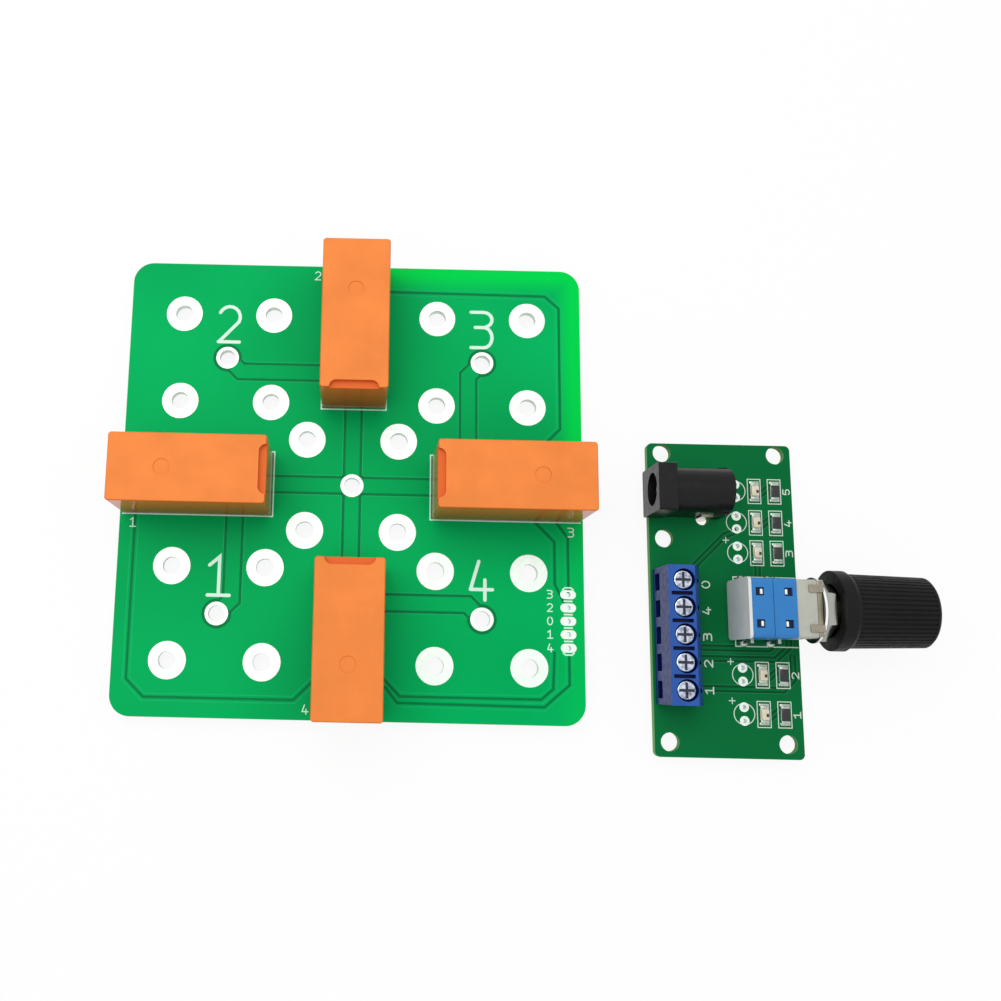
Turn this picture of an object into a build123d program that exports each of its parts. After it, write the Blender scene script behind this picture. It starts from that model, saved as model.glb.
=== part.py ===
from build123d import *

import os

# Coaxial antenna switch: a relay board that joins one coaxial port to four others, and beside it the
# manual control board with its rotary switch. Millimetres, +Z up. The origin is the centre of the
# common port on the relay board's underside. Both boards stand on the tips of their solder pins.

# ---------------------------------------------------------------- clearances
body_gap = 0.3  # between pieces that move and their neighbours
running_gap = 0.05  # round a shaft, pivot or thread
seat_gap = 0.03  # round a piece that is pushed into its seat

# ---------------------------------------------------------------- both boards
board_thickness = 1.6
pin_tail = 2.0  # how far the solder pins stand out below a board
plating = 0.05  # copper and tin in and around a plated hole
pin_floor = -pin_tail

# ---------------------------------------------------------------- relay board
relay_board_side = 90.0
relay_board_corner = 4.0
port_offset = 25.4  # outer ports from the common port, along X and along Y
port_hole_r = 1.6
port_pad_r = 2.25
flange_pitch = 18.0  # square pattern of a four-hole connector flange
flange_hole_r = 1.75
flange_pad_r = 3.6
header_inset = 3.09  # the header's row from the board's right edge
header_x = relay_board_side / 2 - header_inset
header_middle_y = -25.4
header_pitch = 2.54
header_count = 5
header_hole_r = 0.5
header_pad_length = 3.0
header_pad_width = 1.7

# ---------------------------------------------------------------- relay, in its own frame
# X runs outwards from the relay's inner end, Z = 0 is the top of the board.
relay_length = 29.0
relay_edge_gap = 0.4  # the relay's outer end from the board's edge
relay_inner_reach = relay_board_side / 2 - relay_edge_gap - relay_length  # common port to inner end
relay_width = 12.7
relay_height = 15.7
cover_wall = 0.8
cover_lift = 0.25  # the cover's rim stands clear of the board
cover_corner = 0.6
cover_edge = 0.3
notch_width = 9.2
notch_depth = 1.4  # into the inner end
notch_roundness = 0.95  # its corner radius, as a share of its depth
notch_drop = 1.0
gate_dimple_r = 1.5
gate_dimple_depth = 0.15
gate_from_outer_end = 10.0

base_top = 2.4
base_foot_r = 0.6
base_foot_inset = 2.2
relay_pin_thick = 0.5
relay_pin_width = 1.0
relay_pin_hole_r = 0.65
relay_pin_spread = 3.75  # each pair of pins, either side of the middle
make_pin_x = 2.0  # normally open contact
common_pin_x = 7.0
break_pin_x = 12.0  # normally closed contact
coil_pin_inset = 2.0  # from the relay's outer end
coil_pin_x = relay_length - coil_pin_inset
coil_pin_top = 2.2

arm_pivot_z = 3.2
arm_roll_r = 0.27
arm_thick = 0.3
arm_half = 2.5
arm_headroom = 0.8  # under the cover's roof
arm_top = relay_height - cover_wall - arm_headroom
arm_rivet_proud = 0.9
common_foot_top = 3.0
common_foot_length = 1.2

card_thick = 0.8
card_bottom = arm_top - card_thick
card_half = 3.0
card_slot_length = 6.0
card_slot_width = 2.0

contact_drop = 2.1  # from the card down to the tops of the fixed contacts
contact_blade_top = card_bottom - contact_drop
rivet_drop = 1.7  # from there down to the middle of the rivets
contact_height = contact_blade_top - rivet_drop
contact_strip = 0.4
contact_blade_half = 2.6
contact_foot_half = 4.3
rivet_r = 1.4
rivet_proud = 0.8
make_rivet_face = 4.8
break_rivet_face = 8.3

armature_thick = 1.0
armature_half = 4.2
armature_face_x = relay_length - cover_wall - body_gap - armature_thick
armature_pivot_z = 3.0
armature_roll_r = armature_thick / 2
armature_headroom = 1.0  # under the cover's roof
armature_top = relay_height - cover_wall - armature_headroom
saddle_top = 2.8

yoke_x = 13.2
yoke_thick = 1.2
yoke_half = 4.5
yoke_end_x = armature_face_x - body_gap
yoke_drop = 0.9  # from the card down to the yoke
yoke_top = card_bottom - yoke_drop
pole_thick = 0.5
pole_gap = 1.2  # from the pole face to the open armature
bobbin_end_x = armature_face_x - pole_gap - pole_thick
bobbin_flange = card_bottom - body_gap - base_top - yoke_thick  # side of the square flange
bobbin_flange_thick = 0.8
coil_z = base_top + yoke_thick + bobbin_flange / 2
winding_inset = 0.4  # inside the flange's edge
winding_r = bobbin_flange / 2 - winding_inset
winding_build = 1.9  # depth of the wire on the tube
bobbin_tube_r = winding_r - winding_build
bobbin_tube_wall = 0.6
core_r = bobbin_tube_r - bobbin_tube_wall
pole_inset = 0.9  # the pole face inside the winding's outside
pole_r = winding_r - pole_inset

# ---------------------------------------------------------------- control board
# Its own frame is centred among the four corner holes, with Z = 0 on the underside.
control_width = 28.0
control_height = 60.0
boards_apart = 12.8
control_x = relay_board_side / 2 + boards_apart + control_width / 2
control_y = -19.8
control_shift_y = -0.4  # the laminate against its hole pattern
control_corner = 1.0
control_hole_inset_x = 2.9
control_hole_inset_y = 2.35
control_hole_x = control_width / 2 - control_hole_inset_x
control_hole_y = control_height / 2 - control_hole_inset_y
control_hole_r = 1.75
side_hole_y = 10.8
led_pad_x = 3.0
led_pad_pitch = 2.54
led_pad_r = 0.9
led_hole_r = 0.45
led_rows = (20.4, 14.2, 8.3, -14.9, -22.2)
chip_led_x = 6.7
chip_resistor_x = 10.6
chip_length = 3.1
chip_width = 1.6
chip_height = 0.6
chip_end = 0.5
led_lens_height = 0.9

# ---------------------------------------------------------------- screw terminal block
pole_count = 5
pole_pitch = 5.0
pole_top_y = 2.0
block_inset = 0.5  # the block's front from the board's left edge
block_front_x = block_inset - control_width / 2
block_depth = 7.6
block_height = 10.0
block_ledge = 4.9  # width of the flat strip that holds the screws
block_step_x = 6.8
block_step_z = 6.3
block_end_wall = 0.2
tongue_bottom = 3.5
tongue_thick = 0.6
tongue_inset = 1.2  # from the block's front
tongue_front_x = block_front_x + tongue_inset
tongue_width = 2.2
screw_inset = 2.9  # from the block's front
screw_x = block_front_x + screw_inset
screw_head_r = 1.85
screw_head_height = 1.4
screw_head_round = 0.35
screw_sink = 2.0  # the head's underside below the top of the block
screw_head_bottom = block_height - screw_sink
screw_recess_r = 2.0
screw_shank_r = 1.25
screw_shank_gap = 0.2  # above the tongue
screw_shank_bottom = tongue_bottom + tongue_thick + screw_shank_gap
screw_slot = 0.5
screw_slot_depth = 0.7
screw_slot_rim = 0.45  # head left round the ends of the slot
screw_seat = 0.8  # plastic under the screw's head
cavity_length = 4.55
cavity_width = 4.2
cavity_bottom = 0.6
cavity_top = screw_head_bottom - screw_seat
cavity_wall = 0.8
cavity_front_x = block_front_x + cavity_wall
cage_length = 2.8
cage_width = 3.6
cage_bottom = 0.9
cage_floor = 0.6
cage_roof = 0.7
cage_side = 0.5
cage_top = tongue_bottom + tongue_thick + body_gap + cage_roof
terminal_pin_inset = 5.05  # from the block's front
terminal_pin_x = block_front_x + terminal_pin_inset
terminal_pin_thick = 0.5
terminal_pin_width = 1.0
terminal_pin_hole_r = 0.65
wire_entry_width = 3.2
wire_entry_bottom = 1.4
wire_entry_height = 2.9
probe_hole_inset = 6.05  # from the block's front
probe_hole_x = block_front_x + probe_hole_inset
probe_hole_r = 0.4
probe_hole_depth = 2.0
divider_width = 0.7
divider_length = 3.9
divider_depth = 1.2

# ---------------------------------------------------------------- power jack
jack_y = 19.2
jack_overhang = 1.0  # past the board's left edge
jack_front_x = -control_width / 2 - jack_overhang
jack_length = 14.4
jack_width = 9.0
jack_height = 11.0
jack_corner = 0.45
jack_flange = 3.5
jack_barrel_r = 4.2
jack_rear_wall = 1.7
jack_axis_height = 6.5
jack_bore_r = 3.15
jack_bore_depth = 9.5
jack_pin_r = 1.05
jack_pin_recess = 1.0
jack_pin_nose = 0.4
jack_rivet_r = 1.5
jack_strip_width = 2.4
jack_strip_thick = 0.3
jack_tail_width = 1.9
jack_groove_depth = 0.6
jack_tail_hole_r = 1.3
jack_spring_inset = 7.8  # the spring's tail from the jack's front
jack_spring_x = jack_front_x + jack_spring_inset
jack_spring_width = 2.0
jack_spring_thick = 0.3
jack_leaf_inset = 2.4  # the leaf's tip from the jack's front
jack_spring_front_x = jack_front_x + jack_leaf_inset
side_tab_inset = 11.4  # from the jack's front
side_tab_x = jack_front_x + side_tab_inset
side_tab_width = 2.4
side_tab_height = 3.25

# ---------------------------------------------------------------- rotary switch
# Its axis lies along X, above the board.
switch_y = -2.9
back_plate_thick = 0.6
back_plate_side = 11.2
switch_lift = 0.3  # the back plate's lower edge above the board
switch_axis_height = back_plate_side / 2 + switch_lift
wafer_inset = 0.15  # all round, from the back plate's edge
wafer_side = back_plate_side - 2 * wafer_inset
wafer_corner = 0.8
rear_wafer_length = 3.9
front_wafer_length = 4.2
wafer_seam = 0.1
wafer_bore_r = 4.1
window_side = 1.5
window_y = 2.9
window_depth = 0.8
detent_length = 3.8
detent_inset = 0.3  # all round, from the back plate's edge
detent_side = back_plate_side - 2 * detent_inset
detent_corner = 0.6
detent_bore_r = 4.6
detent_back_wall = 0.4
front_plate_thick = 1.0
front_plate_inset = 0.2  # all round, from the detent housing's edge
front_plate_side = detent_side - 2 * front_plate_inset
lug_width = 1.4
lug_thick = 0.4
lug_length = 2.6
lug_y = 3.6
bushing_r = 3.5
bushing_chamfer = 0.25
washer_r = 6.1
washer_thick = 0.6
washer_edge = 0.2
nut_across_flats = 10.0
nut_thick = 2.0

# along the switch's axis: the washer stands just past the board's edge, and the rest follows from it
edge_gap = 0.1
washer_x = control_width / 2 + edge_gap
front_plate_x = washer_x - front_plate_thick
detent_x = front_plate_x - detent_length
front_wafer_x = detent_x - front_wafer_length
rear_wafer_x = front_wafer_x - wafer_seam - rear_wafer_length
back_plate_x = rear_wafer_x - back_plate_thick
nut_x = washer_x + washer_thick
knob_gap = 0.7  # from the nut to the knob
knob_x = nut_x + nut_thick + knob_gap
bushing_reach = 1.0  # into the knob
bushing_end_x = knob_x + bushing_reach

shaft_r = 3.0
shaft_core_r = 2.4  # behind the detent disc
shaft_back_x = rear_wafer_x + body_gap
rotor_hub_wall = 0.8
rotor_r = 3.6
rotor_thick = 1.0
wiper_width = 1.2
wiper_gap = 0.15  # round the rotor, to the side contacts
detent_disc_thick = 0.8
detent_disc_x = front_plate_x - body_gap - detent_disc_thick
detent_disc_r = 4.2
detent_steps = 12
detent_ball_r = 0.7
detent_ball_reach = 3.5
detent_ball_hold = 0.35  # how far past its middle the housing holds the ball
detent_pocket_r = 0.35
detent_pocket_depth = 0.3
detent_spring_wall = 0.24
rear_row_inset = 2.3  # from the back plate to the rear contacts
front_row_inset = 0.8  # from the detent housing to the front contacts
switch_pin_rows = (rear_wafer_x + rear_row_inset, detent_x - front_row_inset)
switch_pin_side = 0.6
side_contact_gap = 0.15  # between a wafer and its side contacts
switch_pin_outer_y = wafer_side / 2 + side_contact_gap + switch_pin_side / 2
switch_pin_inner_y = 1.9
switch_pin_hole_r = 0.55
side_contact_drop = 1.7  # from the switch's axis down to the side contacts
switch_pin_reach = board_thickness + switch_axis_height - side_contact_drop
switch_side_tip_y = rotor_r + wiper_gap

# ---------------------------------------------------------------- knob
knob_length = 17.6
skirt_r = 7.45
skirt_length = 2.2
knob_base_r = 6.9
knob_end_r = 6.5
knob_taper_start = 0.8
knob_end_round = 0.4
knob_rim = 0.1  # round the cap
knob_recess_r = 5.0
knob_recess_depth = 3.0
knob_web = 1.75  # between the shaft's bore and the cap
flute_count = 48
flute_r = 0.18
cap_r = knob_end_r - knob_end_round - knob_rim
cap_thick = 0.8
cap_drop = 0.05
knob_bore_depth = knob_length - cap_drop - cap_thick - knob_web
pointer_width = 0.8
pointer_depth = 0.3

os.makedirs("parts", exist_ok=True)


# ================================================================ relay board
port_places = [(0, 0)]
port_places += [(port_offset * a, port_offset * b) for a in (-1, 1) for b in (-1, 1)]
flange_places = [
    (x + flange_pitch / 2 * a, y + flange_pitch / 2 * b)
    for x, y in port_places
    for a in (-1, 1)
    for b in (-1, 1)
]
header_places = [
    (header_x, header_middle_y + header_pitch * (i - (header_count - 1) / 2)) for i in range(header_count)
]
relay_sites = {
    f"k{number}": Location(
        (relay_inner_reach * dx, relay_inner_reach * dy, board_thickness), (0, 0, angle)
    )
    for number, dx, dy, angle in ((1, -1, 0, 180), (2, 0, 1, 90), (3, 1, 0, 0), (4, 0, -1, 270))
}
relay_pin_places = [
    (x, relay_pin_spread * side)
    for x in (make_pin_x, common_pin_x, break_pin_x, coil_pin_x)
    for side in (-1, 1)
]

with BuildPart() as relay_board:
    with BuildSketch(Plane.XY):
        RectangleRounded(relay_board_side, relay_board_side, relay_board_corner)
        with Locations(*port_places):
            Circle(port_hole_r + plating, mode=Mode.SUBTRACT)
        with Locations(*flange_places):
            Circle(flange_hole_r + plating, mode=Mode.SUBTRACT)
        with Locations(*header_places):
            Circle(header_hole_r + plating, mode=Mode.SUBTRACT)
        with PolarLocations(relay_inner_reach, 4):
            with Locations(*relay_pin_places):
                Circle(relay_pin_hole_r, mode=Mode.SUBTRACT)
    extrude(amount=board_thickness)
relay_board.part.label = "relay_board"
export_step(relay_board.part, "parts/relay_board.step")


def plated_hole(hole_r, pad_r):
    """A hole's plated wall with its ring of tin on both faces of the board."""
    with BuildPart() as eyelet:
        with BuildSketch(Plane.XY.offset(-plating)):
            Circle(pad_r)
            Circle(hole_r, mode=Mode.SUBTRACT)
        extrude(amount=plating)
        with BuildSketch(Plane.XY):
            Circle(hole_r + plating)
            Circle(hole_r, mode=Mode.SUBTRACT)
        extrude(amount=board_thickness)
        with BuildSketch(Plane.XY.offset(board_thickness)):
            Circle(pad_r)
            Circle(hole_r, mode=Mode.SUBTRACT)
        extrude(amount=plating)
    return eyelet.part


def header_eyelet():
    """The same round a header hole, with an oblong pad."""
    with BuildPart() as eyelet:
        for bottom in (-plating, board_thickness):
            with BuildSketch(Plane.XY.offset(bottom)):
                SlotOverall(header_pad_length, header_pad_width)
                Circle(header_hole_r, mode=Mode.SUBTRACT)
            extrude(amount=plating)
        with BuildSketch(Plane.XY):
            Circle(header_hole_r + plating)
            Circle(header_hole_r, mode=Mode.SUBTRACT)
        extrude(amount=board_thickness)
    return eyelet.part


with BuildPart() as relay_board_pads:
    with Locations(*port_places):
        add(plated_hole(port_hole_r, port_pad_r))
    with Locations(*flange_places):
        add(plated_hole(flange_hole_r, flange_pad_r))
    with Locations(*header_places):
        add(header_eyelet())
relay_board_pads.part.label = "relay_board_pads"
export_step(relay_board_pads.part, "parts/relay_board_pads.step")


# ================================================================ relay pieces, each made once
relay_middle = relay_length / 2
pin_bottom = -board_thickness - pin_tail  # below the relay's own zero
inner_length = relay_length - 2 * (cover_wall + seat_gap)
inner_width = relay_width - 2 * (cover_wall + seat_gap)

with BuildPart() as relay_cover:
    with BuildSketch(Plane.XY.offset(cover_lift)):
        with Locations((relay_middle, 0)):
            RectangleRounded(relay_length, relay_width, cover_corner)
    extrude(amount=relay_height - cover_lift)
    fillet(relay_cover.faces().sort_by(Axis.Z)[-1].edges(), cover_edge)
    with BuildSketch(Plane.XZ):
        with BuildLine():
            Polyline(
                (cover_wall, 0),
                (relay_length - cover_wall, 0),
                (relay_length - cover_wall, relay_height - cover_wall),
                (notch_depth + cover_wall, relay_height - cover_wall),
                (notch_depth + cover_wall, relay_height - notch_drop - cover_wall),
                (cover_wall, relay_height - notch_drop - cover_wall),
                close=True,
            )
        make_face()
    extrude(amount=relay_width / 2 - cover_wall, both=True, mode=Mode.SUBTRACT)
    with BuildSketch(Plane.XY.offset(relay_height - notch_drop)):
        RectangleRounded(2 * notch_depth, notch_width, notch_depth * notch_roundness)
    extrude(amount=notch_drop, mode=Mode.SUBTRACT)
    with Locations((relay_length - gate_from_outer_end, 0, relay_height)):
        Hole(gate_dimple_r, gate_dimple_depth)

saddle_x = yoke_end_x + seat_gap
armature_pivot_x = armature_face_x + armature_roll_r
with BuildPart() as relay_base:
    with BuildSketch(Plane.XY.offset(cover_lift)):
        with Locations((relay_middle, 0)):
            Rectangle(inner_length, inner_width)
    extrude(amount=base_top - cover_lift)
    with BuildSketch(Plane.XY.offset(base_top)):
        with Locations((saddle_x, 0)):
            Rectangle(
                relay_length - cover_wall - seat_gap - saddle_x,
                2 * armature_half,
                align=(Align.MIN, Align.CENTER),
            )
    extrude(amount=saddle_top - base_top)
    with BuildSketch(Plane.XY):
        with Locations((relay_middle, 0)):
            with GridLocations(
                relay_length - 2 * base_foot_inset, relay_width - 2 * base_foot_inset, 2, 2
            ):
                Circle(base_foot_r)
    extrude(amount=cover_lift)
    with BuildSketch(Plane.XZ):
        with Locations((armature_pivot_x, armature_pivot_z)):
            Circle(armature_roll_r + running_gap)
    extrude(amount=relay_width, both=True, mode=Mode.SUBTRACT)
    with BuildSketch(Plane.XY):
        with Locations(*relay_pin_places):
            Rectangle(relay_pin_thick + 2 * seat_gap, relay_pin_width + 2 * seat_gap)
    extrude(amount=saddle_top, mode=Mode.SUBTRACT)


def fixed_contact(pin_x, blade_x, rivet_side):
    """A contact strip with its two pins. rivet_side is +1 where the rivet faces the relay's outer end."""
    strip = contact_strip * (1 if pin_x > blade_x else -1)
    with BuildPart() as contact:
        with BuildSketch(Plane.XY.offset(base_top)):
            with Locations(((pin_x + blade_x) / 2, 0)):
                Rectangle(abs(pin_x - blade_x) + relay_pin_thick, 2 * contact_foot_half)
        extrude(amount=contact_strip)
        with BuildSketch(Plane.XY.offset(base_top)):
            with Locations((blade_x + strip / 2, 0)):
                Rectangle(contact_strip, 2 * contact_blade_half)
        extrude(amount=contact_blade_top - base_top)
        with BuildSketch(Plane.YZ.offset(blade_x)):
            with Locations((0, contact_height)):
                Circle(rivet_r)
        extrude(amount=rivet_proud * rivet_side)
        with BuildSketch(Plane.XY.offset(pin_bottom)):
            with Locations((pin_x, relay_pin_spread), (pin_x, -relay_pin_spread)):
                Rectangle(relay_pin_thick, relay_pin_width)
        extrude(amount=base_top - pin_bottom)
    return contact.part


make_contact = fixed_contact(make_pin_x, make_rivet_face - rivet_proud, 1)
break_contact = fixed_contact(break_pin_x, break_rivet_face + rivet_proud, -1)

with BuildPart() as common_terminal:
    with BuildSketch(Plane.XY.offset(base_top)):
        with Locations((common_pin_x, 0)):
            Rectangle(common_foot_length, 2 * contact_foot_half)
    extrude(amount=common_foot_top - base_top)
    with BuildSketch(Plane.XZ):
        with Locations((common_pin_x, arm_pivot_z)):
            Circle(arm_roll_r + running_gap)
    extrude(amount=relay_width, both=True, mode=Mode.SUBTRACT)
    with BuildSketch(Plane.XY.offset(pin_bottom)):
        with Locations((common_pin_x, relay_pin_spread), (common_pin_x, -relay_pin_spread)):
            Rectangle(relay_pin_thick, relay_pin_width)
    extrude(amount=base_top - pin_bottom)

with BuildPart() as contact_arm:
    with BuildSketch(Plane.XZ):
        with Locations((common_pin_x, arm_pivot_z)):
            Circle(arm_roll_r)
        with Locations((common_pin_x, (arm_pivot_z + arm_top) / 2)):
            Rectangle(arm_thick, arm_top - arm_pivot_z)
    extrude(amount=arm_half, both=True)
    with BuildSketch(Plane.YZ.offset(common_pin_x)):
        with Locations((0, contact_height)):
            Circle(rivet_r)
    extrude(amount=arm_thick / 2 + arm_rivet_proud, both=True)

with BuildPart() as coil_pin:
    with BuildSketch(Plane.XY.offset(pin_bottom)):
        with Locations((coil_pin_x, 0)):
            Rectangle(relay_pin_thick, relay_pin_width)
    extrude(amount=coil_pin_top - pin_bottom)

with BuildPart() as relay_yoke:
    with BuildSketch(Plane.XZ):
        with BuildLine():
            Polyline(
                (yoke_x, base_top),
                (yoke_end_x, base_top),
                (yoke_end_x, base_top + yoke_thick),
                (yoke_x + yoke_thick, base_top + yoke_thick),
                (yoke_x + yoke_thick, yoke_top),
                (yoke_x, yoke_top),
                close=True,
            )
        make_face()
    extrude(amount=yoke_half, both=True)
    with BuildSketch(Plane.YZ.offset(yoke_x)):
        with Locations((0, coil_z)):
            Circle(core_r + seat_gap)
    extrude(amount=yoke_thick, mode=Mode.SUBTRACT)

with BuildPart() as relay_core:
    with BuildSketch(Plane.YZ.offset(yoke_x)):
        with Locations((0, coil_z)):
            Circle(core_r)
    extrude(amount=bobbin_end_x - yoke_x)
    with BuildSketch(Plane.YZ.offset(bobbin_end_x)):
        with Locations((0, coil_z)):
            Circle(pole_r)
    extrude(amount=pole_thick)

bobbin_x = yoke_x + yoke_thick
with BuildPart() as relay_bobbin:
    with BuildSketch(Plane.YZ.offset(bobbin_x)):
        with Locations((0, coil_z)):
            Circle(bobbin_tube_r)
    extrude(amount=bobbin_end_x - bobbin_x)
    for flange_x in (bobbin_x, bobbin_end_x - bobbin_flange_thick):
        with BuildSketch(Plane.YZ.offset(flange_x)):
            with Locations((0, coil_z)):
                Rectangle(bobbin_flange, bobbin_flange)
        extrude(amount=bobbin_flange_thick)
    with BuildSketch(Plane.YZ.offset(bobbin_x)):
        with Locations((0, coil_z)):
            Circle(core_r + seat_gap)
    extrude(amount=bobbin_end_x - bobbin_x, mode=Mode.SUBTRACT)

with BuildPart() as relay_winding:
    with BuildSketch(Plane.YZ.offset(bobbin_x + bobbin_flange_thick)):
        with Locations((0, coil_z)):
            Circle(winding_r)
            Circle(bobbin_tube_r, mode=Mode.SUBTRACT)
    extrude(amount=bobbin_end_x - bobbin_x - 2 * bobbin_flange_thick)

with BuildPart() as relay_armature:
    with BuildSketch(Plane.XZ):
        with Locations((armature_pivot_x, armature_pivot_z)):
            Circle(armature_roll_r)
        with Locations((armature_pivot_x, (armature_pivot_z + armature_top) / 2)):
            Rectangle(armature_thick, armature_top - armature_pivot_z)
    extrude(amount=armature_half, both=True)

card_x = common_pin_x + arm_thick / 2 + body_gap
card_length = armature_face_x - body_gap - card_x
with BuildPart() as relay_card:
    with BuildSketch(Plane.XY.offset(card_bottom)):
        with Locations((card_x + card_length / 2, 0)):
            Rectangle(card_length, 2 * card_half)
            SlotOverall(card_slot_length, card_slot_width, mode=Mode.SUBTRACT)
    extrude(amount=card_thick)


# ================================================================ relay pieces, placed
for relay_name, site in relay_sites.items():
    with BuildPart() as placed_cover:
        with Locations(site):
            add(relay_cover.part)
    placed_cover.part.label = f"{relay_name}_cover"
    export_step(placed_cover.part, f"parts/{relay_name}_cover.step")

    with BuildPart() as placed_armature:
        with Locations(site):
            add(relay_armature.part)
    placed_armature.part.label = f"{relay_name}_armature"
    export_step(placed_armature.part, f"parts/{relay_name}_armature.step")

    with BuildPart() as placed_card:
        with Locations(site):
            add(relay_card.part)
    placed_card.part.label = f"{relay_name}_card"
    export_step(placed_card.part, f"parts/{relay_name}_card.step")

    with BuildPart() as placed_arm:
        with Locations(site):
            add(contact_arm.part)
    placed_arm.part.label = f"{relay_name}_contact_arm"
    export_step(placed_arm.part, f"parts/{relay_name}_contact_arm.step")

with BuildPart() as relay_bases:
    with Locations(*relay_sites.values()):
        add(relay_base.part)
relay_bases.part.label = "relay_bases"
export_step(relay_bases.part, "parts/relay_bases.step")

with BuildPart() as relay_fixed_contacts:
    with Locations(*relay_sites.values()):
        add(make_contact)
        add(break_contact)
relay_fixed_contacts.part.label = "relay_fixed_contacts"
export_step(relay_fixed_contacts.part, "parts/relay_fixed_contacts.step")

with BuildPart() as relay_common_terminals:
    with Locations(*relay_sites.values()):
        add(common_terminal.part)
relay_common_terminals.part.label = "relay_common_terminals"
export_step(relay_common_terminals.part, "parts/relay_common_terminals.step")

with BuildPart() as relay_coil_pins:
    with Locations(*relay_sites.values()):
        with Locations((0, relay_pin_spread), (0, -relay_pin_spread)):
            add(coil_pin.part)
relay_coil_pins.part.label = "relay_coil_pins"
export_step(relay_coil_pins.part, "parts/relay_coil_pins.step")

with BuildPart() as relay_yokes:
    with Locations(*relay_sites.values()):
        add(relay_yoke.part)
relay_yokes.part.label = "relay_yokes"
export_step(relay_yokes.part, "parts/relay_yokes.step")

with BuildPart() as relay_cores:
    with Locations(*relay_sites.values()):
        add(relay_core.part)
relay_cores.part.label = "relay_cores"
export_step(relay_cores.part, "parts/relay_cores.step")

with BuildPart() as relay_bobbins:
    with Locations(*relay_sites.values()):
        add(relay_bobbin.part)
relay_bobbins.part.label = "relay_bobbins"
export_step(relay_bobbins.part, "parts/relay_bobbins.step")

with BuildPart() as relay_windings:
    with Locations(*relay_sites.values()):
        add(relay_winding.part)
relay_windings.part.label = "relay_windings"
export_step(relay_windings.part, "parts/relay_windings.step")


# ================================================================ control board
control = Plane(origin=(control_x, control_y, 0))
control_top = control.offset(board_thickness)
control_hole_places = [(control_hole_x * a, control_hole_y * b) for a in (-1, 1) for b in (-1, 1)]
control_hole_places.append((-control_hole_x, side_hole_y))
led_pad_places = [(led_pad_x, row + led_pad_pitch / 2 * side) for row in led_rows for side in (-1, 1)]
pole_places = [pole_top_y - pole_pitch * i for i in range(pole_count)]
switch_pin_places = [
    (x, switch_y + y)
    for x in switch_pin_rows
    for y in (-switch_pin_outer_y, -switch_pin_inner_y, switch_pin_inner_y, switch_pin_outer_y)
]
jack_rear_x = jack_front_x + jack_length
jack_tail_x = jack_rear_x - jack_groove_depth + jack_strip_thick / 2
side_tab_y = jack_y - jack_barrel_r - jack_strip_thick / 2
jack_tail_places = [(jack_tail_x, jack_y), (jack_spring_x, jack_y), (side_tab_x, side_tab_y)]

with BuildPart() as control_board:
    with BuildSketch(control):
        with Locations((0, control_shift_y)):
            RectangleRounded(control_width, control_height, control_corner)
        with Locations(*control_hole_places):
            Circle(control_hole_r, mode=Mode.SUBTRACT)
        with Locations(*led_pad_places):
            Circle(led_hole_r + plating, mode=Mode.SUBTRACT)
        with Locations(*[(terminal_pin_x, y) for y in pole_places]):
            Circle(terminal_pin_hole_r, mode=Mode.SUBTRACT)
        with Locations(*switch_pin_places):
            Circle(switch_pin_hole_r, mode=Mode.SUBTRACT)
        with Locations(*jack_tail_places):
            Circle(jack_tail_hole_r, mode=Mode.SUBTRACT)
    extrude(amount=board_thickness)
control_board.part.label = "control_board"
export_step(control_board.part, "parts/control_board.step")

with BuildPart() as control_board_pads:
    with Locations(control):
        with Locations(*led_pad_places):
            add(plated_hole(led_hole_r, led_pad_r))
control_board_pads.part.label = "control_board_pads"
export_step(control_board_pads.part, "parts/control_board_pads.step")


def chip(height):
    with BuildPart() as body:
        with BuildSketch(Plane.XY):
            Rectangle(chip_width, chip_length)
        extrude(amount=height)
        with BuildSketch(Plane.XY):
            with Locations((0, (chip_length - chip_end) / 2), (0, (chip_end - chip_length) / 2)):
                Rectangle(chip_width, chip_end)
        extrude(amount=chip_height)
    return body.part


with BuildPart() as chip_resistors:
    with Locations(control_top):
        with Locations(*[(chip_resistor_x, row) for row in led_rows]):
            add(chip(chip_height))
chip_resistors.part.label = "chip_resistors"
export_step(chip_resistors.part, "parts/chip_resistors.step")

with BuildPart() as indicator_leds:
    with Locations(control_top):
        with Locations(*[(chip_led_x, row) for row in led_rows]):
            add(chip(led_lens_height))
indicator_leds.part.label = "indicator_leds"
export_step(indicator_leds.part, "parts/indicator_leds.step")


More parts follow.
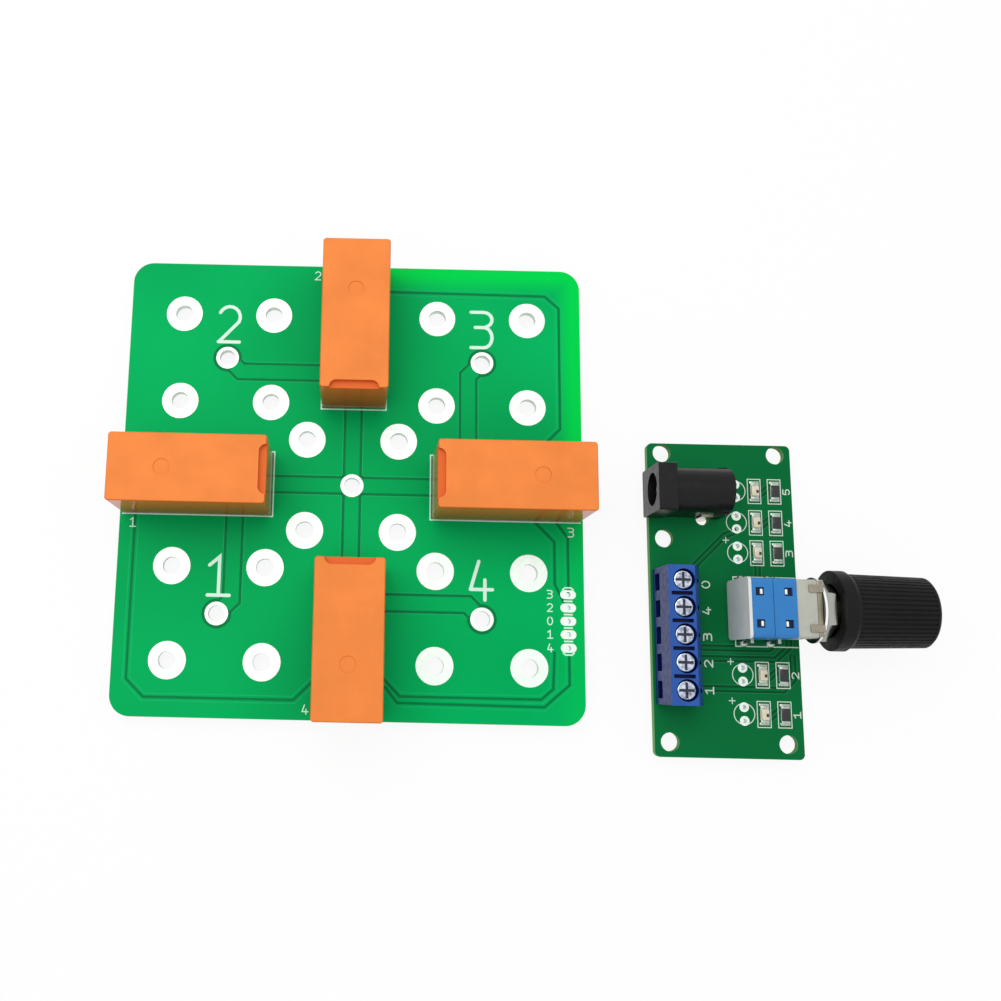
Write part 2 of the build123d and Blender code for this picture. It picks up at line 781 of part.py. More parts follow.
# ================================================================ screw terminal block
block_top_y = pole_top_y + pole_pitch / 2 + block_end_wall
block_length = pole_count * pole_pitch + 2 * block_end_wall
block_plane = Plane(
    origin=(control_x, control_y + block_top_y, board_thickness), x_dir=(1, 0, 0), z_dir=(0, -1, 0)
)
with BuildPart() as terminal_housing:
    with BuildSketch(block_plane):
        with BuildLine():
            Polyline(
                (block_front_x, 0),
                (block_front_x, block_height),
                (block_front_x + block_ledge, block_height),
                (block_front_x + block_step_x, block_step_z),
                (block_front_x + block_depth, 0),
                close=True,
            )
        make_face()
    extrude(amount=block_length)
    with BuildSketch(control_top.offset(cavity_bottom)):
        with Locations(*[(cavity_front_x + cavity_length / 2, y) for y in pole_places]):
            Rectangle(cavity_length, cavity_width)
    extrude(amount=cavity_top - cavity_bottom, mode=Mode.SUBTRACT)
    with BuildSketch(control_top.offset(screw_head_bottom - running_gap)):
        with Locations(*[(screw_x, y) for y in pole_places]):
            Circle(screw_recess_r)
    extrude(amount=block_height - screw_head_bottom + running_gap, mode=Mode.SUBTRACT)
    with BuildSketch(control_top.offset(cavity_top)):
        with Locations(*[(screw_x, y) for y in pole_places]):
            Circle(screw_shank_r + running_gap)
    extrude(amount=block_height - cavity_top, mode=Mode.SUBTRACT)
    with BuildSketch(control_top.offset(wire_entry_bottom)):
        with Locations(*[(block_front_x, y) for y in pole_places]):
            Rectangle(
                cavity_front_x - block_front_x, wire_entry_width, align=(Align.MIN, Align.CENTER)
            )
    extrude(amount=wire_entry_height, mode=Mode.SUBTRACT)
    with BuildSketch(control_top):
        with Locations(*[(terminal_pin_x, y) for y in pole_places]):
            Rectangle(terminal_pin_thick + 2 * seat_gap, terminal_pin_width + 2 * seat_gap)
    extrude(amount=cavity_bottom, mode=Mode.SUBTRACT)
    with BuildSketch(control_top.offset(block_step_z - probe_hole_depth / 2)):
        with Locations(*[(probe_hole_x, y) for y in pole_places]):
            Circle(probe_hole_r)
    extrude(amount=block_height, mode=Mode.SUBTRACT)
    with BuildSketch(control_top.offset(block_height - divider_depth)):
        with Locations(*[(block_front_x + block_ledge / 2, y - pole_pitch / 2) for y in pole_places[:-1]]):
            Rectangle(divider_length, divider_width)
    extrude(amount=divider_depth, mode=Mode.SUBTRACT)
terminal_housing.part.label = "terminal_housing"
export_step(terminal_housing.part, "parts/terminal_housing.step")

screw_slot_length = 2 * (screw_head_r - screw_slot_rim)
for pole, pole_y in enumerate(pole_places, start=1):
    with BuildPart() as clamp_screw:
        with BuildSketch(control_top.offset(screw_shank_bottom)):
            with Locations((screw_x, pole_y)):
                Circle(screw_shank_r)
        extrude(amount=screw_head_bottom - screw_shank_bottom)
        with BuildSketch(control_top.offset(screw_head_bottom)):
            with Locations((screw_x, pole_y)):
                Circle(screw_head_r)
        extrude(amount=screw_head_height)
        fillet(clamp_screw.faces().sort_by(Axis.Z)[-1].edges(), screw_head_round)
        with BuildSketch(control_top.offset(screw_head_bottom + screw_head_height - screw_slot_depth)):
            with Locations((screw_x, pole_y)):
                Rectangle(screw_slot_length, screw_slot)
                Rectangle(screw_slot, screw_slot_length)
        extrude(amount=screw_slot_depth, mode=Mode.SUBTRACT)
    clamp_screw.part.label = f"clamp_screw_{pole}"
    export_step(clamp_screw.part, f"parts/clamp_screw_{pole}.step")

    with BuildPart() as clamp_cage:
        with BuildSketch(control_top.offset(cage_bottom)):
            with Locations((screw_x, pole_y)):
                Rectangle(cage_length, cage_width)
        extrude(amount=cage_top - cage_bottom)
        with BuildSketch(control_top.offset(cage_bottom + cage_floor)):
            with Locations((screw_x, pole_y)):
                Rectangle(cage_length, cage_width - 2 * cage_side)
        extrude(amount=cage_top - cage_roof - cage_bottom - cage_floor, mode=Mode.SUBTRACT)
        with BuildSketch(control_top.offset(cage_top - cage_roof)):
            with Locations((screw_x, pole_y)):
                Circle(screw_shank_r + running_gap)
        extrude(amount=cage_roof, mode=Mode.SUBTRACT)
    clamp_cage.part.label = f"clamp_cage_{pole}"
    export_step(clamp_cage.part, f"parts/clamp_cage_{pole}.step")

with BuildPart() as terminal_pins:
    with BuildSketch(control_top.offset(tongue_bottom)):
        with Locations(*[(tongue_front_x, y) for y in pole_places]):
            Rectangle(
                terminal_pin_x + terminal_pin_thick / 2 - tongue_front_x,
                tongue_width,
                align=(Align.MIN, Align.CENTER),
            )
    extrude(amount=tongue_thick)
    with BuildSketch(control.offset(pin_floor)):
        with Locations(*[(terminal_pin_x, y) for y in pole_places]):
            Rectangle(terminal_pin_thick, terminal_pin_width)
    extrude(amount=board_thickness + tongue_bottom - pin_floor)
terminal_pins.part.label = "terminal_pins"
export_step(terminal_pins.part, "parts/terminal_pins.step")


# ================================================================ power jack
jack_axis_z = board_thickness + jack_axis_height


def across_jack(x):
    """A plane square to the jack's axis: its own X is +Y and its own Y is +Z, from the axis."""
    return Plane(
        origin=(control_x + x, control_y + jack_y, jack_axis_z), x_dir=(0, 1, 0), z_dir=(1, 0, 0)
    )


jack_floor = -jack_axis_height  # the top of the board, seen from the jack's axis
barrel_x = jack_front_x + jack_flange
barrel_length = jack_length - jack_flange - jack_rear_wall
with BuildPart() as jack_housing:
    with BuildSketch(across_jack(jack_front_x)):
        with Locations((0, jack_floor + jack_height / 2)):
            RectangleRounded(jack_width, jack_height, jack_corner)
    extrude(amount=jack_flange)
    with BuildSketch(across_jack(barrel_x)):
        Circle(jack_barrel_r)
        with Locations((0, jack_floor)):
            Rectangle(2 * jack_barrel_r, jack_axis_height, align=(Align.CENTER, Align.MIN))
    extrude(amount=barrel_length)
    with BuildSketch(across_jack(barrel_x + barrel_length)):
        Circle(jack_barrel_r)
        with Locations((0, jack_floor)):
            Rectangle(jack_width, jack_axis_height, align=(Align.CENTER, Align.MIN))
    extrude(amount=jack_rear_wall)
    with BuildSketch(across_jack(jack_front_x)):
        Circle(jack_bore_r)
    extrude(amount=jack_bore_depth, mode=Mode.SUBTRACT)
    with BuildSketch(across_jack(jack_front_x)):
        Circle(jack_pin_r + seat_gap)
    extrude(amount=jack_length, mode=Mode.SUBTRACT)
    # the centre pin's rivet and strip lie in a groove down the back
    with BuildSketch(across_jack(jack_rear_x - jack_groove_depth)):
        Circle(jack_rivet_r + seat_gap)
        with Locations((0, jack_floor)):
            Rectangle(
                jack_strip_width + 2 * seat_gap, jack_axis_height, align=(Align.CENTER, Align.MIN)
            )
    extrude(amount=jack_groove_depth, mode=Mode.SUBTRACT)
    # slot for the sleeve spring
    with BuildSketch(control_top):
        with Locations((jack_spring_x, jack_y)):
            Rectangle(jack_spring_thick + 2 * seat_gap, jack_spring_width + 2 * seat_gap)
    extrude(amount=jack_axis_height, mode=Mode.SUBTRACT)
jack_housing.part.label = "jack_housing"
export_step(jack_housing.part, "parts/jack_housing.step")

with BuildPart() as jack_center_pin:
    with BuildSketch(across_jack(jack_front_x + jack_pin_recess)):
        Circle(jack_pin_r)
    extrude(amount=jack_length - jack_pin_recess - jack_groove_depth)
    fillet(jack_center_pin.faces().sort_by(Axis.X)[0].edges(), jack_pin_nose)
    with BuildSketch(across_jack(jack_rear_x - jack_groove_depth)):
        Circle(jack_rivet_r)
        with Locations((0, jack_floor)):
            Rectangle(jack_strip_width, jack_axis_height, align=(Align.CENTER, Align.MIN))
    extrude(amount=jack_strip_thick)
    with BuildSketch(control.offset(pin_floor)):
        with Locations((jack_tail_x, jack_y)):
            Rectangle(jack_strip_thick, jack_tail_width)
    extrude(amount=board_thickness - pin_floor)
jack_center_pin.part.label = "jack_center_pin"
export_step(jack_center_pin.part, "parts/jack_center_pin.step")

# the spring's tail rises through the floor of the bore, and its leaf lies along the bore's lowest line
jack_spring_drop = (jack_bore_r**2 - (jack_spring_width / 2) ** 2) ** 0.5 - seat_gap
with BuildPart() as jack_sleeve_spring:
    with BuildSketch(control.offset(pin_floor)):
        with Locations((jack_spring_x, jack_y)):
            Rectangle(jack_spring_thick, jack_spring_width)
    extrude(amount=jack_axis_z - jack_spring_drop - pin_floor)
    with BuildSketch(control.offset(jack_axis_z - jack_spring_drop)):
        with Locations((jack_spring_x + jack_spring_thick / 2, jack_y)):
            Rectangle(
                jack_spring_x + jack_spring_thick / 2 - jack_spring_front_x,
                jack_spring_width,
                align=(Align.MAX, Align.CENTER),
            )
    extrude(amount=jack_spring_thick)
jack_sleeve_spring.part.label = "jack_sleeve_spring"
export_step(jack_sleeve_spring.part, "parts/jack_sleeve_spring.step")

with BuildPart() as jack_break_contact:
    with BuildSketch(control.offset(pin_floor)):
        with Locations((side_tab_x, side_tab_y)):
            Rectangle(side_tab_width, jack_strip_thick)
    extrude(amount=board_thickness + side_tab_height - pin_floor)
jack_break_contact.part.label = "jack_break_contact"
export_step(jack_break_contact.part, "parts/jack_break_contact.step")


# ================================================================ rotary switch
switch_z = board_thickness + switch_axis_height
switch_axis = Axis((control_x, control_y + switch_y, switch_z), (1, 0, 0))
side_plane = Plane(
    origin=(control_x, control_y + switch_y, switch_z), x_dir=(1, 0, 0), z_dir=(0, -1, 0)
)  # its own X is +X and its own Y is +Z, from the switch's axis


def across_switch(x):
    """A plane square to the switch's axis: its own X is +Y and its own Y is +Z, from the axis."""
    return Plane(origin=(control_x + x, control_y + switch_y, switch_z), x_dir=(0, 1, 0), z_dir=(1, 0, 0))


with BuildPart() as switch_back_plate:
    with BuildSketch(across_switch(back_plate_x)):
        RectangleRounded(back_plate_side, back_plate_side, wafer_corner)
    extrude(amount=back_plate_thick)
switch_back_plate.part.label = "switch_back_plate"
export_step(switch_back_plate.part, "parts/switch_back_plate.step")


def wafer(start_x, length, pin_x, window_x):
    """One blue contact wafer, bored for the rotor, with slots for the contacts and two windows on top."""
    with BuildPart() as body:
        with BuildSketch(across_switch(start_x)):
            RectangleRounded(wafer_side, wafer_side, wafer_corner)
            Circle(wafer_bore_r, mode=Mode.SUBTRACT)
        extrude(amount=length)
        with BuildSketch(Plane(origin=(control_x, control_y + switch_y, switch_z + wafer_side / 2))):
            with Locations((window_x, window_y), (window_x, -window_y)):
                Rectangle(window_side, window_side)
        extrude(amount=-window_depth, mode=Mode.SUBTRACT)
        slot = switch_pin_side + 2 * seat_gap
        with BuildSketch(side_plane):
            with Locations((pin_x, switch_pin_reach - switch_z)):
                Rectangle(slot, slot)
        extrude(amount=wafer_side, both=True, mode=Mode.SUBTRACT)
        with BuildSketch(control):
            with Locations((pin_x, switch_y + switch_pin_inner_y), (pin_x, switch_y - switch_pin_inner_y)):
                Rectangle(slot, slot)
        extrude(amount=switch_z - rotor_r, mode=Mode.SUBTRACT)
    return body.part


switch_rear_wafer = wafer(rear_wafer_x, rear_wafer_length, switch_pin_rows[0], rear_wafer_x + window_side)
switch_rear_wafer.label = "switch_rear_wafer"
export_step(switch_rear_wafer, "parts/switch_rear_wafer.step")

switch_front_wafer = wafer(
    front_wafer_x, front_wafer_length, switch_pin_rows[1], detent_x - window_side
)
switch_front_wafer.label = "switch_front_wafer"
export_step(switch_front_wafer, "parts/switch_front_wafer.step")

with BuildPart() as side_contact:
    with BuildSketch(Plane.XY.offset(pin_floor)):
        with Locations((0, switch_pin_outer_y)):
            Rectangle(switch_pin_side, switch_pin_side)
    extrude(amount=switch_pin_reach + switch_pin_side / 2 - pin_floor)
    with BuildSketch(Plane.XZ.offset(-switch_side_tip_y)):
        with Locations((0, switch_pin_reach)):
            Rectangle(switch_pin_side, switch_pin_side)
    extrude(amount=-(switch_pin_outer_y - switch_side_tip_y))

with BuildPart() as bottom_contact:
    with BuildSketch(Plane.XY.offset(pin_floor)):
        with Locations((0, switch_pin_inner_y)):
            Rectangle(switch_pin_side, switch_pin_side)
    extrude(amount=switch_z - rotor_r - running_gap - pin_floor)

with BuildPart() as switch_contacts:
    with Locations(*[(control_x + x, control_y + switch_y) for x in switch_pin_rows]):
        add(side_contact.part)
        add(bottom_contact.part)
        add(mirror(side_contact.part, Plane.XZ, mode=Mode.PRIVATE))
        add(mirror(bottom_contact.part, Plane.XZ, mode=Mode.PRIVATE))
switch_contacts.part.label = "switch_contacts"
export_step(switch_contacts.part, "parts/switch_contacts.step")

ball_x = detent_disc_x - running_gap - detent_ball_r
spring_x = detent_x + detent_back_wall
with BuildPart() as switch_detent_housing:
    with BuildSketch(across_switch(detent_x)):
        RectangleRounded(detent_side, detent_side, detent_corner)
        Circle(shaft_core_r + running_gap, mode=Mode.SUBTRACT)
    extrude(amount=detent_length)
    with BuildSketch(across_switch(ball_x + detent_ball_hold)):
        Circle(detent_bore_r)
    extrude(amount=detent_length, mode=Mode.SUBTRACT)
    with BuildSketch(across_switch(spring_x)):
        with Locations((0, detent_ball_reach)):
            Circle(detent_ball_r + running_gap)
    extrude(amount=detent_length, mode=Mode.SUBTRACT)
switch_detent_housing.part.label = "switch_detent_housing"
export_step(switch_detent_housing.part, "parts/switch_detent_housing.step")

with BuildPart() as detent_ball:
    with Locations((control_x + ball_x, control_y + switch_y, switch_z + detent_ball_reach)):
        Sphere(detent_ball_r)
detent_ball.part.label = "detent_ball"
export_step(detent_ball.part, "parts/detent_ball.step")

spring_inner_r = detent_ball_r - detent_spring_wall
ball_back = (detent_ball_r**2 - spring_inner_r**2) ** 0.5  # where the spring's edge meets the ball
with BuildPart() as detent_spring:
    with BuildSketch(across_switch(spring_x)):
        with Locations((0, detent_ball_reach)):
            Circle(detent_ball_r)
            Circle(spring_inner_r, mode=Mode.SUBTRACT)
    extrude(amount=ball_x - ball_back - seat_gap - spring_x)
detent_spring.part.label = "detent_spring"
export_step(detent_spring.part, "parts/detent_spring.step")

with BuildPart() as switch_front_plate:
    with BuildSketch(across_switch(front_plate_x)):
        Rectangle(front_plate_side, front_plate_side)
    extrude(amount=front_plate_thick)
    # lugs folded back over the detent housing, top and bottom
    for side in (-1, 1):
        with BuildSketch(across_switch(washer_x)):
            with Locations(
                (lug_y, side * (detent_side + lug_thick) / 2), (-lug_y, side * (detent_side + lug_thick) / 2)
            ):
                Rectangle(lug_width, lug_thick)
        extrude(amount=-lug_length)
        with BuildSketch(across_switch(washer_x)):
            with Locations((lug_y, side * detent_side / 2), (-lug_y, side * detent_side / 2)):
                Rectangle(lug_width, 2 * lug_thick)
        extrude(amount=-front_plate_thick)
    with BuildSketch(side_plane):
        with BuildLine():
            Polyline(
                (front_plate_x, 0),
                (bushing_end_x, 0),
                (bushing_end_x, bushing_r - bushing_chamfer),
                (bushing_end_x - bushing_chamfer, bushing_r),
                (front_plate_x, bushing_r),
                close=True,
            )
        make_face()
    revolve(axis=switch_axis)
    with BuildSketch(across_switch(front_plate_x)):
        Circle(shaft_r + running_gap)
    extrude(amount=bushing_end_x, mode=Mode.SUBTRACT)
switch_front_plate.part.label = "switch_front_plate"
export_step(switch_front_plate.part, "parts/switch_front_plate.step")

with BuildPart() as switch_washer:
    with BuildSketch(across_switch(washer_x)):
        Circle(washer_r)
        Circle(bushing_r + seat_gap, mode=Mode.SUBTRACT)
    extrude(amount=washer_thick)
    fillet(switch_washer.faces().sort_by(Axis.X)[-1].edges().sort_by(SortBy.LENGTH)[-1], washer_edge)
switch_washer.part.label = "switch_washer"
export_step(switch_washer.part, "parts/switch_washer.step")

with BuildPart() as switch_nut:
    with BuildSketch(across_switch(nut_x)):
        RegularPolygon(nut_across_flats / 2, 6, major_radius=False)
        Circle(bushing_r + seat_gap, mode=Mode.SUBTRACT)
    extrude(amount=nut_thick)
switch_nut.part.label = "switch_nut"
export_step(switch_nut.part, "parts/switch_nut.step")

shaft_end_x = knob_x + knob_bore_depth - body_gap
with BuildPart() as switch_shaft:
    with BuildSketch(across_switch(detent_disc_x)):
        Circle(shaft_r)
    extrude(amount=shaft_end_x - detent_disc_x)
    with BuildSketch(across_switch(shaft_back_x)):
        Circle(shaft_core_r)
    extrude(amount=detent_disc_x - shaft_back_x)
    with BuildSketch(across_switch(detent_disc_x)):
        Circle(detent_disc_r)
        Circle(shaft_r, mode=Mode.SUBTRACT)
    extrude(amount=detent_disc_thick)
    with BuildSketch(across_switch(detent_disc_x)):
        with PolarLocations(detent_ball_reach, detent_steps):
            Circle(detent_pocket_r)
    extrude(amount=detent_pocket_depth, mode=Mode.SUBTRACT)
switch_shaft.part.label = "switch_shaft"
export_step(switch_shaft.part, "parts/switch_shaft.step")

with BuildPart() as switch_rotor:
    for pin_x in switch_pin_rows:
        with BuildSketch(across_switch(pin_x - rotor_thick / 2)):
            Circle(shaft_core_r + rotor_hub_wall)
            with Locations((-rotor_r / 2, 0)):
                Rectangle(rotor_r, wiper_width)
            Circle(shaft_core_r + seat_gap, mode=Mode.SUBTRACT)
        extrude(amount=rotor_thick)
    with BuildSketch(across_switch(switch_pin_rows[0])):
        Circle(shaft_core_r + rotor_hub_wall / 2)
        Circle(shaft_core_r + seat_gap, mode=Mode.SUBTRACT)
    extrude(amount=switch_pin_rows[1] - switch_pin_rows[0])
switch_rotor.part.label = "switch_rotor"
export_step(switch_rotor.part, "parts/switch_rotor.step")


# ================================================================ knob
knob_end_x = knob_x + knob_length
taper_x = knob_x + skirt_length + knob_taper_start
flute_end_x = knob_end_x - 2 * knob_end_round
with BuildPart() as flute:
    with BuildSketch(across_switch(taper_x)):
        with Locations((0, knob_base_r)):
            Circle(flute_r)
    with BuildSketch(across_switch(flute_end_x)):
        with Locations((0, knob_end_r)):
            Circle(flute_r)
    loft()
flutes = [flute.part.rotate(switch_axis, 360 / flute_count * i) for i in range(flute_count)]

with BuildPart() as knob:
    with BuildSketch(side_plane):
        with BuildLine():
            Polyline(
                (knob_x, knob_recess_r),
                (knob_x, skirt_r),
                (knob_x + skirt_length, skirt_r),
                (taper_x, knob_base_r),
                (knob_end_x - knob_end_round, knob_end_r),
                (knob_end_x, knob_end_r - knob_end_round),
                (knob_end_x, cap_r + seat_gap),
                (knob_end_x - cap_drop - cap_thick, cap_r + seat_gap),
                (knob_end_x - cap_drop - cap_thick, 0),
                (knob_x + knob_bore_depth, 0),
                (knob_x + knob_bore_depth, shaft_r + seat_gap),
                (knob_x + knob_recess_depth, shaft_r + seat_gap),
                (knob_x + knob_recess_depth, knob_recess_r),
                close=True,
            )
        make_face()
    revolve(axis=switch_axis)
    add(flutes, mode=Mode.SUBTRACT)
knob.part.label = "knob"
export_step(knob.part, "parts/knob.step")

with BuildPart() as knob_cap:
    with BuildSketch(across_switch(knob_end_x - cap_drop - cap_thick)):
        Circle(cap_r)
    extrude(amount=cap_thick)
    with BuildSketch(across_switch(knob_end_x - cap_drop - pointer_depth)):
        Rectangle(cap_r, pointer_width, align=(Align.MAX, Align.CENTER))
    extrude(amount=pointer_depth, mode=Mode.SUBTRACT)
knob_cap.part.label = "knob_cap"
export_step(knob_cap.part, "parts/knob_cap.step")
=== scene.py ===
import math

import bmesh
import bpy
from mathutils import Matrix, Vector


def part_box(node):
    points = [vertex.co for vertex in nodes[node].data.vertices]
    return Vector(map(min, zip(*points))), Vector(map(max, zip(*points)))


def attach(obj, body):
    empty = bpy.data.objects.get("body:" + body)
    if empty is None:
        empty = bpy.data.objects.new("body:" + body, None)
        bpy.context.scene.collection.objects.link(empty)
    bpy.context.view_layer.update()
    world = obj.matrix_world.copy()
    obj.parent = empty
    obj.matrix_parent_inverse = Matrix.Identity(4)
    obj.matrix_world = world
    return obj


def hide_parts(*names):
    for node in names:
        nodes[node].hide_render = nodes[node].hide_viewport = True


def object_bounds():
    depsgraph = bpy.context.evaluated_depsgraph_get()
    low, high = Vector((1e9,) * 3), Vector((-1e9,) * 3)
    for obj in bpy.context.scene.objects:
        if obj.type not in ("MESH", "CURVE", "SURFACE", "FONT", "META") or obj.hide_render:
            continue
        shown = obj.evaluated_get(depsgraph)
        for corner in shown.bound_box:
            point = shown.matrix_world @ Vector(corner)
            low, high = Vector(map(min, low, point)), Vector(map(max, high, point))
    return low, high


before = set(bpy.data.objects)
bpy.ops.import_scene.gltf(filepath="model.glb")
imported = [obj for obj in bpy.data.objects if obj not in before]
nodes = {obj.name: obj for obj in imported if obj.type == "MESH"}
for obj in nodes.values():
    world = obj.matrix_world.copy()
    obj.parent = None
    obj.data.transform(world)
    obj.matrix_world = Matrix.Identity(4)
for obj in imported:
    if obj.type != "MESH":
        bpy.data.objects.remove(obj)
cadLow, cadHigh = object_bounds()
mm = 0.001

# heights in millimetres, read from the frame
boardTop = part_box("relay_board")[1].z / mm
floorHeight = cadLow.z / mm
print("frame loaded:", len(nodes), "nodes, board top at", round(boardTop, 3))


# the photo's view of the relay board
cameraSet = {
    "place": (0.42, -36.2, 205.4),
    "looksAlong": (-0.0039, 0.1755, -0.9845),
    "focalPixels": 1059,
    "framePixels": 1001,
    "centreX": 350,  # where the lens axis meets the photo, in its pixels
    "centreY": 485,
    "sensor": 36,
    "clip": (0.005, 20),  # in metres
}


def makeCamera(c):
    data = bpy.data.cameras.new("camera")
    data.sensor_width = c["sensor"]
    data.lens = c["focalPixels"] / c["framePixels"] * c["sensor"]
    data.shift_x = (c["framePixels"] / 2 - c["centreX"]) / c["framePixels"]
    data.shift_y = (c["centreY"] - c["framePixels"] / 2) / c["framePixels"]
    data.clip_start, data.clip_end = c["clip"]
    camera = bpy.data.objects.new("camera", data)
    camera.location = Vector(c["place"]) * mm
    camera.rotation_euler = Vector(c["looksAlong"]).to_track_quat("-Z", "Y").to_euler()
    bpy.context.scene.collection.objects.link(camera)
    bpy.context.scene.camera = camera


makeCamera(cameraSet)


# materials, whose shader sums are written as Python expressions
class Wire:
    # one output of a node; arithmetic on it adds Math nodes
    def __init__(self, graph, socket):
        self.graph = graph
        self.socket = socket

    def maths(self, operation, first, second=0.0):
        return self.graph.node("ShaderNodeMath", {"operation": operation}, {0: first, 1: second})

    def __add__(self, other):
        return self.maths("ADD", self, other)

    __radd__ = __add__

    def __sub__(self, other):
        return self.maths("SUBTRACT", self, other)

    def __rsub__(self, other):
        return self.maths("SUBTRACT", other, self)

    def __mul__(self, other):
        return self.maths("MULTIPLY", self, other)

    __rmul__ = __mul__

    def __abs__(self):
        return self.maths("ABSOLUTE", self)

    def __gt__(self, other):
        return self.maths("GREATER_THAN", self, other)

    def __lt__(self, other):
        return self.maths("LESS_THAN", self, other)

    def larger(self, other):
        return self.maths("MAXIMUM", self, other)


class Graph:
    def __init__(self, tree):
        self.tree = tree

    def node(self, kind, settings, sockets, output=0):
        made = self.tree.nodes.new(kind)
        for key, value in settings.items():
            setattr(made, key, value)
        for key, value in sockets.items():
            if isinstance(value, Wire):
                self.tree.links.new(value.socket, made.inputs[key])
            else:
                made.inputs[key].default_value = value
        return Wire(self, made.outputs[output])

    def seenDirectly(self):
        # one for the camera, reflections and glass, nought for the light that falls on the object
        seen = self.node("ShaderNodeLightPath", {}, {}, "Is Camera Ray")
        for kind in ("Is Glossy Ray", "Is Transmission Ray"):
            seen = seen.larger(self.node("ShaderNodeLightPath", {}, {}, kind))
        return seen


class Paint(Graph):
    def __init__(self, name, colour, roughness=0.5, metallic=0.0, coat=0.0, shine=0.5, coatRoughness=0.08):
        self.material = bpy.data.materials.new(name)
        self.material.use_nodes = True
        super().__init__(self.material.node_tree)
        self.shader = self.tree.nodes["Principled BSDF"]
        self.material.diffuse_color = (*colour, 1)
        self.shader.inputs["Base Color"].default_value = (*colour, 1)
        self.shader.inputs["Roughness"].default_value = roughness
        self.shader.inputs["Metallic"].default_value = metallic
        self.shader.inputs["Specular IOR Level"].default_value = shine
        self.shader.inputs["Coat Weight"].default_value = coat
        self.shader.inputs["Coat Roughness"].default_value = coatRoughness

    def feed(self, socket, wire):
        self.tree.links.new(wire.socket, self.shader.inputs[socket])
        return self

    def place(self):
        return self.node("ShaderNodeTexCoord", {}, {}, "Object")

    def stretched(self, scale):
        return self.node("ShaderNodeMapping", {}, {"Vector": self.place(), "Scale": scale})

    def noise(self, size, detail=2.0, vector=None):
        # size is the width of a spot, in millimetres
        sockets = {"Vector": vector or self.place(), "Scale": 1 / (size * mm), "Detail": detail}
        return self.node("ShaderNodeTexNoise", {}, sockets)

    def facing(self, axis="Z"):
        normal = self.node("ShaderNodeNewGeometry", {}, {}, "Normal")
        return self.node("ShaderNodeSeparateXYZ", {}, {0: normal}, axis)

    def along(self, axis):
        return self.node("ShaderNodeSeparateXYZ", {}, {0: self.place()}, axis)

    def blend(self, shadeMask, first, second):
        sockets = {0: shadeMask, 6: first, 7: second}
        return self.node("ShaderNodeMix", {"data_type": "RGBA"}, sockets, 2)

    def ramp(self, value, low, high, fromValue, toValue):
        sockets = {0: value, 1: fromValue, 2: toValue, 3: low, 4: high}
        return self.node("ShaderNodeMapRange", {}, sockets)

    def spread(self, noise, low, high, margin=0.2):
        # noise keeps near its middle, so what lies within a margin of it fills the way from low to high
        return self.ramp(noise, low, high, 0.5 - margin, 0.5 + margin)

    def bump(self, height, depth):
        # depth in millimetres
        sockets = {"Height": height, "Distance": depth * mm, "Strength": 1.0}
        return self.feed("Normal", self.node("ShaderNodeBump", {}, sockets))


def shade(colour, factor):
    return tuple(min(1, c * factor) for c in colour[:3]) + (1,)


def mottled(
    name, colour, roughness, metallic=0.0, coat=0.0, shine=0.5,
    spot=2.0, spread=0.1, gloss=0.2, grain=0.15, depth=0.004,
):
    # an even finish whose colour and gloss wander a little, with a fine grain
    paint = Paint(name, colour, roughness, metallic, coat, shine)
    wander = paint.noise(spot, 3.0)
    paint.feed("Base Color", paint.blend(wander, shade(colour, 1 - spread), shade(colour, 1 + spread)))
    low, high = roughness * (1 - gloss), roughness * (1 + gloss)
    paint.feed("Roughness", paint.spread(paint.noise(spot / 3), low, high))
    paint.bump(paint.noise(grain), depth)
    return paint


maskFinish = {
    "shine": 0.02,
    "patch": 38,  # width of the broad paler and deeper patches
    "patchShades": (0.9, 1.08),
    "patchMargin": 0.15,
    "rightHighlightFade": (-10, 4),  # the painted highlight by the right rim comes up between these places on the board
    "upperHighlightFade": (0, 6),  # and the upper rim's between these
    "edgeBelow": 0.5,  # a face that looks up or down by less than this is a cut edge
    "layer": 0.12,
    "layerStretch": (0.05, 0.05, 1),
    "layerShades": (0.8, 1.15),
    "roughness": 0.26,
    "edgeRoughness": 0.4,  # is added at the cut edges
    "smear": 6,
    "smearRoughness": 0.06,
    "grain": 0.45,
    "depth": 0.006,
}


def solderMask(name, colour, rimHighlight, laminate, m=maskFinish):
    # green lacquer with a painted highlight towards the board's rim, over laminate that shows at the cut
    # edges
    paint = Paint(name, colour, shine=m["shine"])
    broad = paint.spread(paint.noise(m["patch"], 1.0), 0, 1, m["patchMargin"])
    lacquer = paint.blend(broad, shade(colour, m["patchShades"][0]), shade(colour, m["patchShades"][1]))
    # painted highlight: a lighter green laid over the lacquer by the right and upper rims
    if rimHighlight:
        x, y = paint.along("X"), paint.along("Y")
        rim = [v * mm for v in rimHighlight["rim"]]
        rightHighlight = paint.ramp(x, 0, 1, *rim) * paint.ramp(y, rimHighlight["lower"], 1, *[v * mm for v in m["rightHighlightFade"]])
        upperHighlight = paint.ramp(y, 0, 1, *rim) * paint.ramp(x, 0, 1, *[v * mm for v in m["upperHighlightFade"]])
        lacquer = paint.blend(rightHighlight.larger(upperHighlight), lacquer, (*rimHighlight["colour"], 1))
    edge = abs(paint.facing()) < m["edgeBelow"]
    layers = paint.noise(m["layer"], 1.0, paint.stretched(m["layerStretch"]))
    cut = paint.blend(layers, shade(laminate, m["layerShades"][0]), shade(laminate, m["layerShades"][1]))
    paint.feed("Base Color", paint.blend(edge, lacquer, cut))
    smears = paint.noise(m["smear"]) * m["smearRoughness"]
    paint.feed("Roughness", edge * m["edgeRoughness"] + m["roughness"] + smears)
    paint.bump(paint.noise(m["grain"]), m["depth"])
    return paint


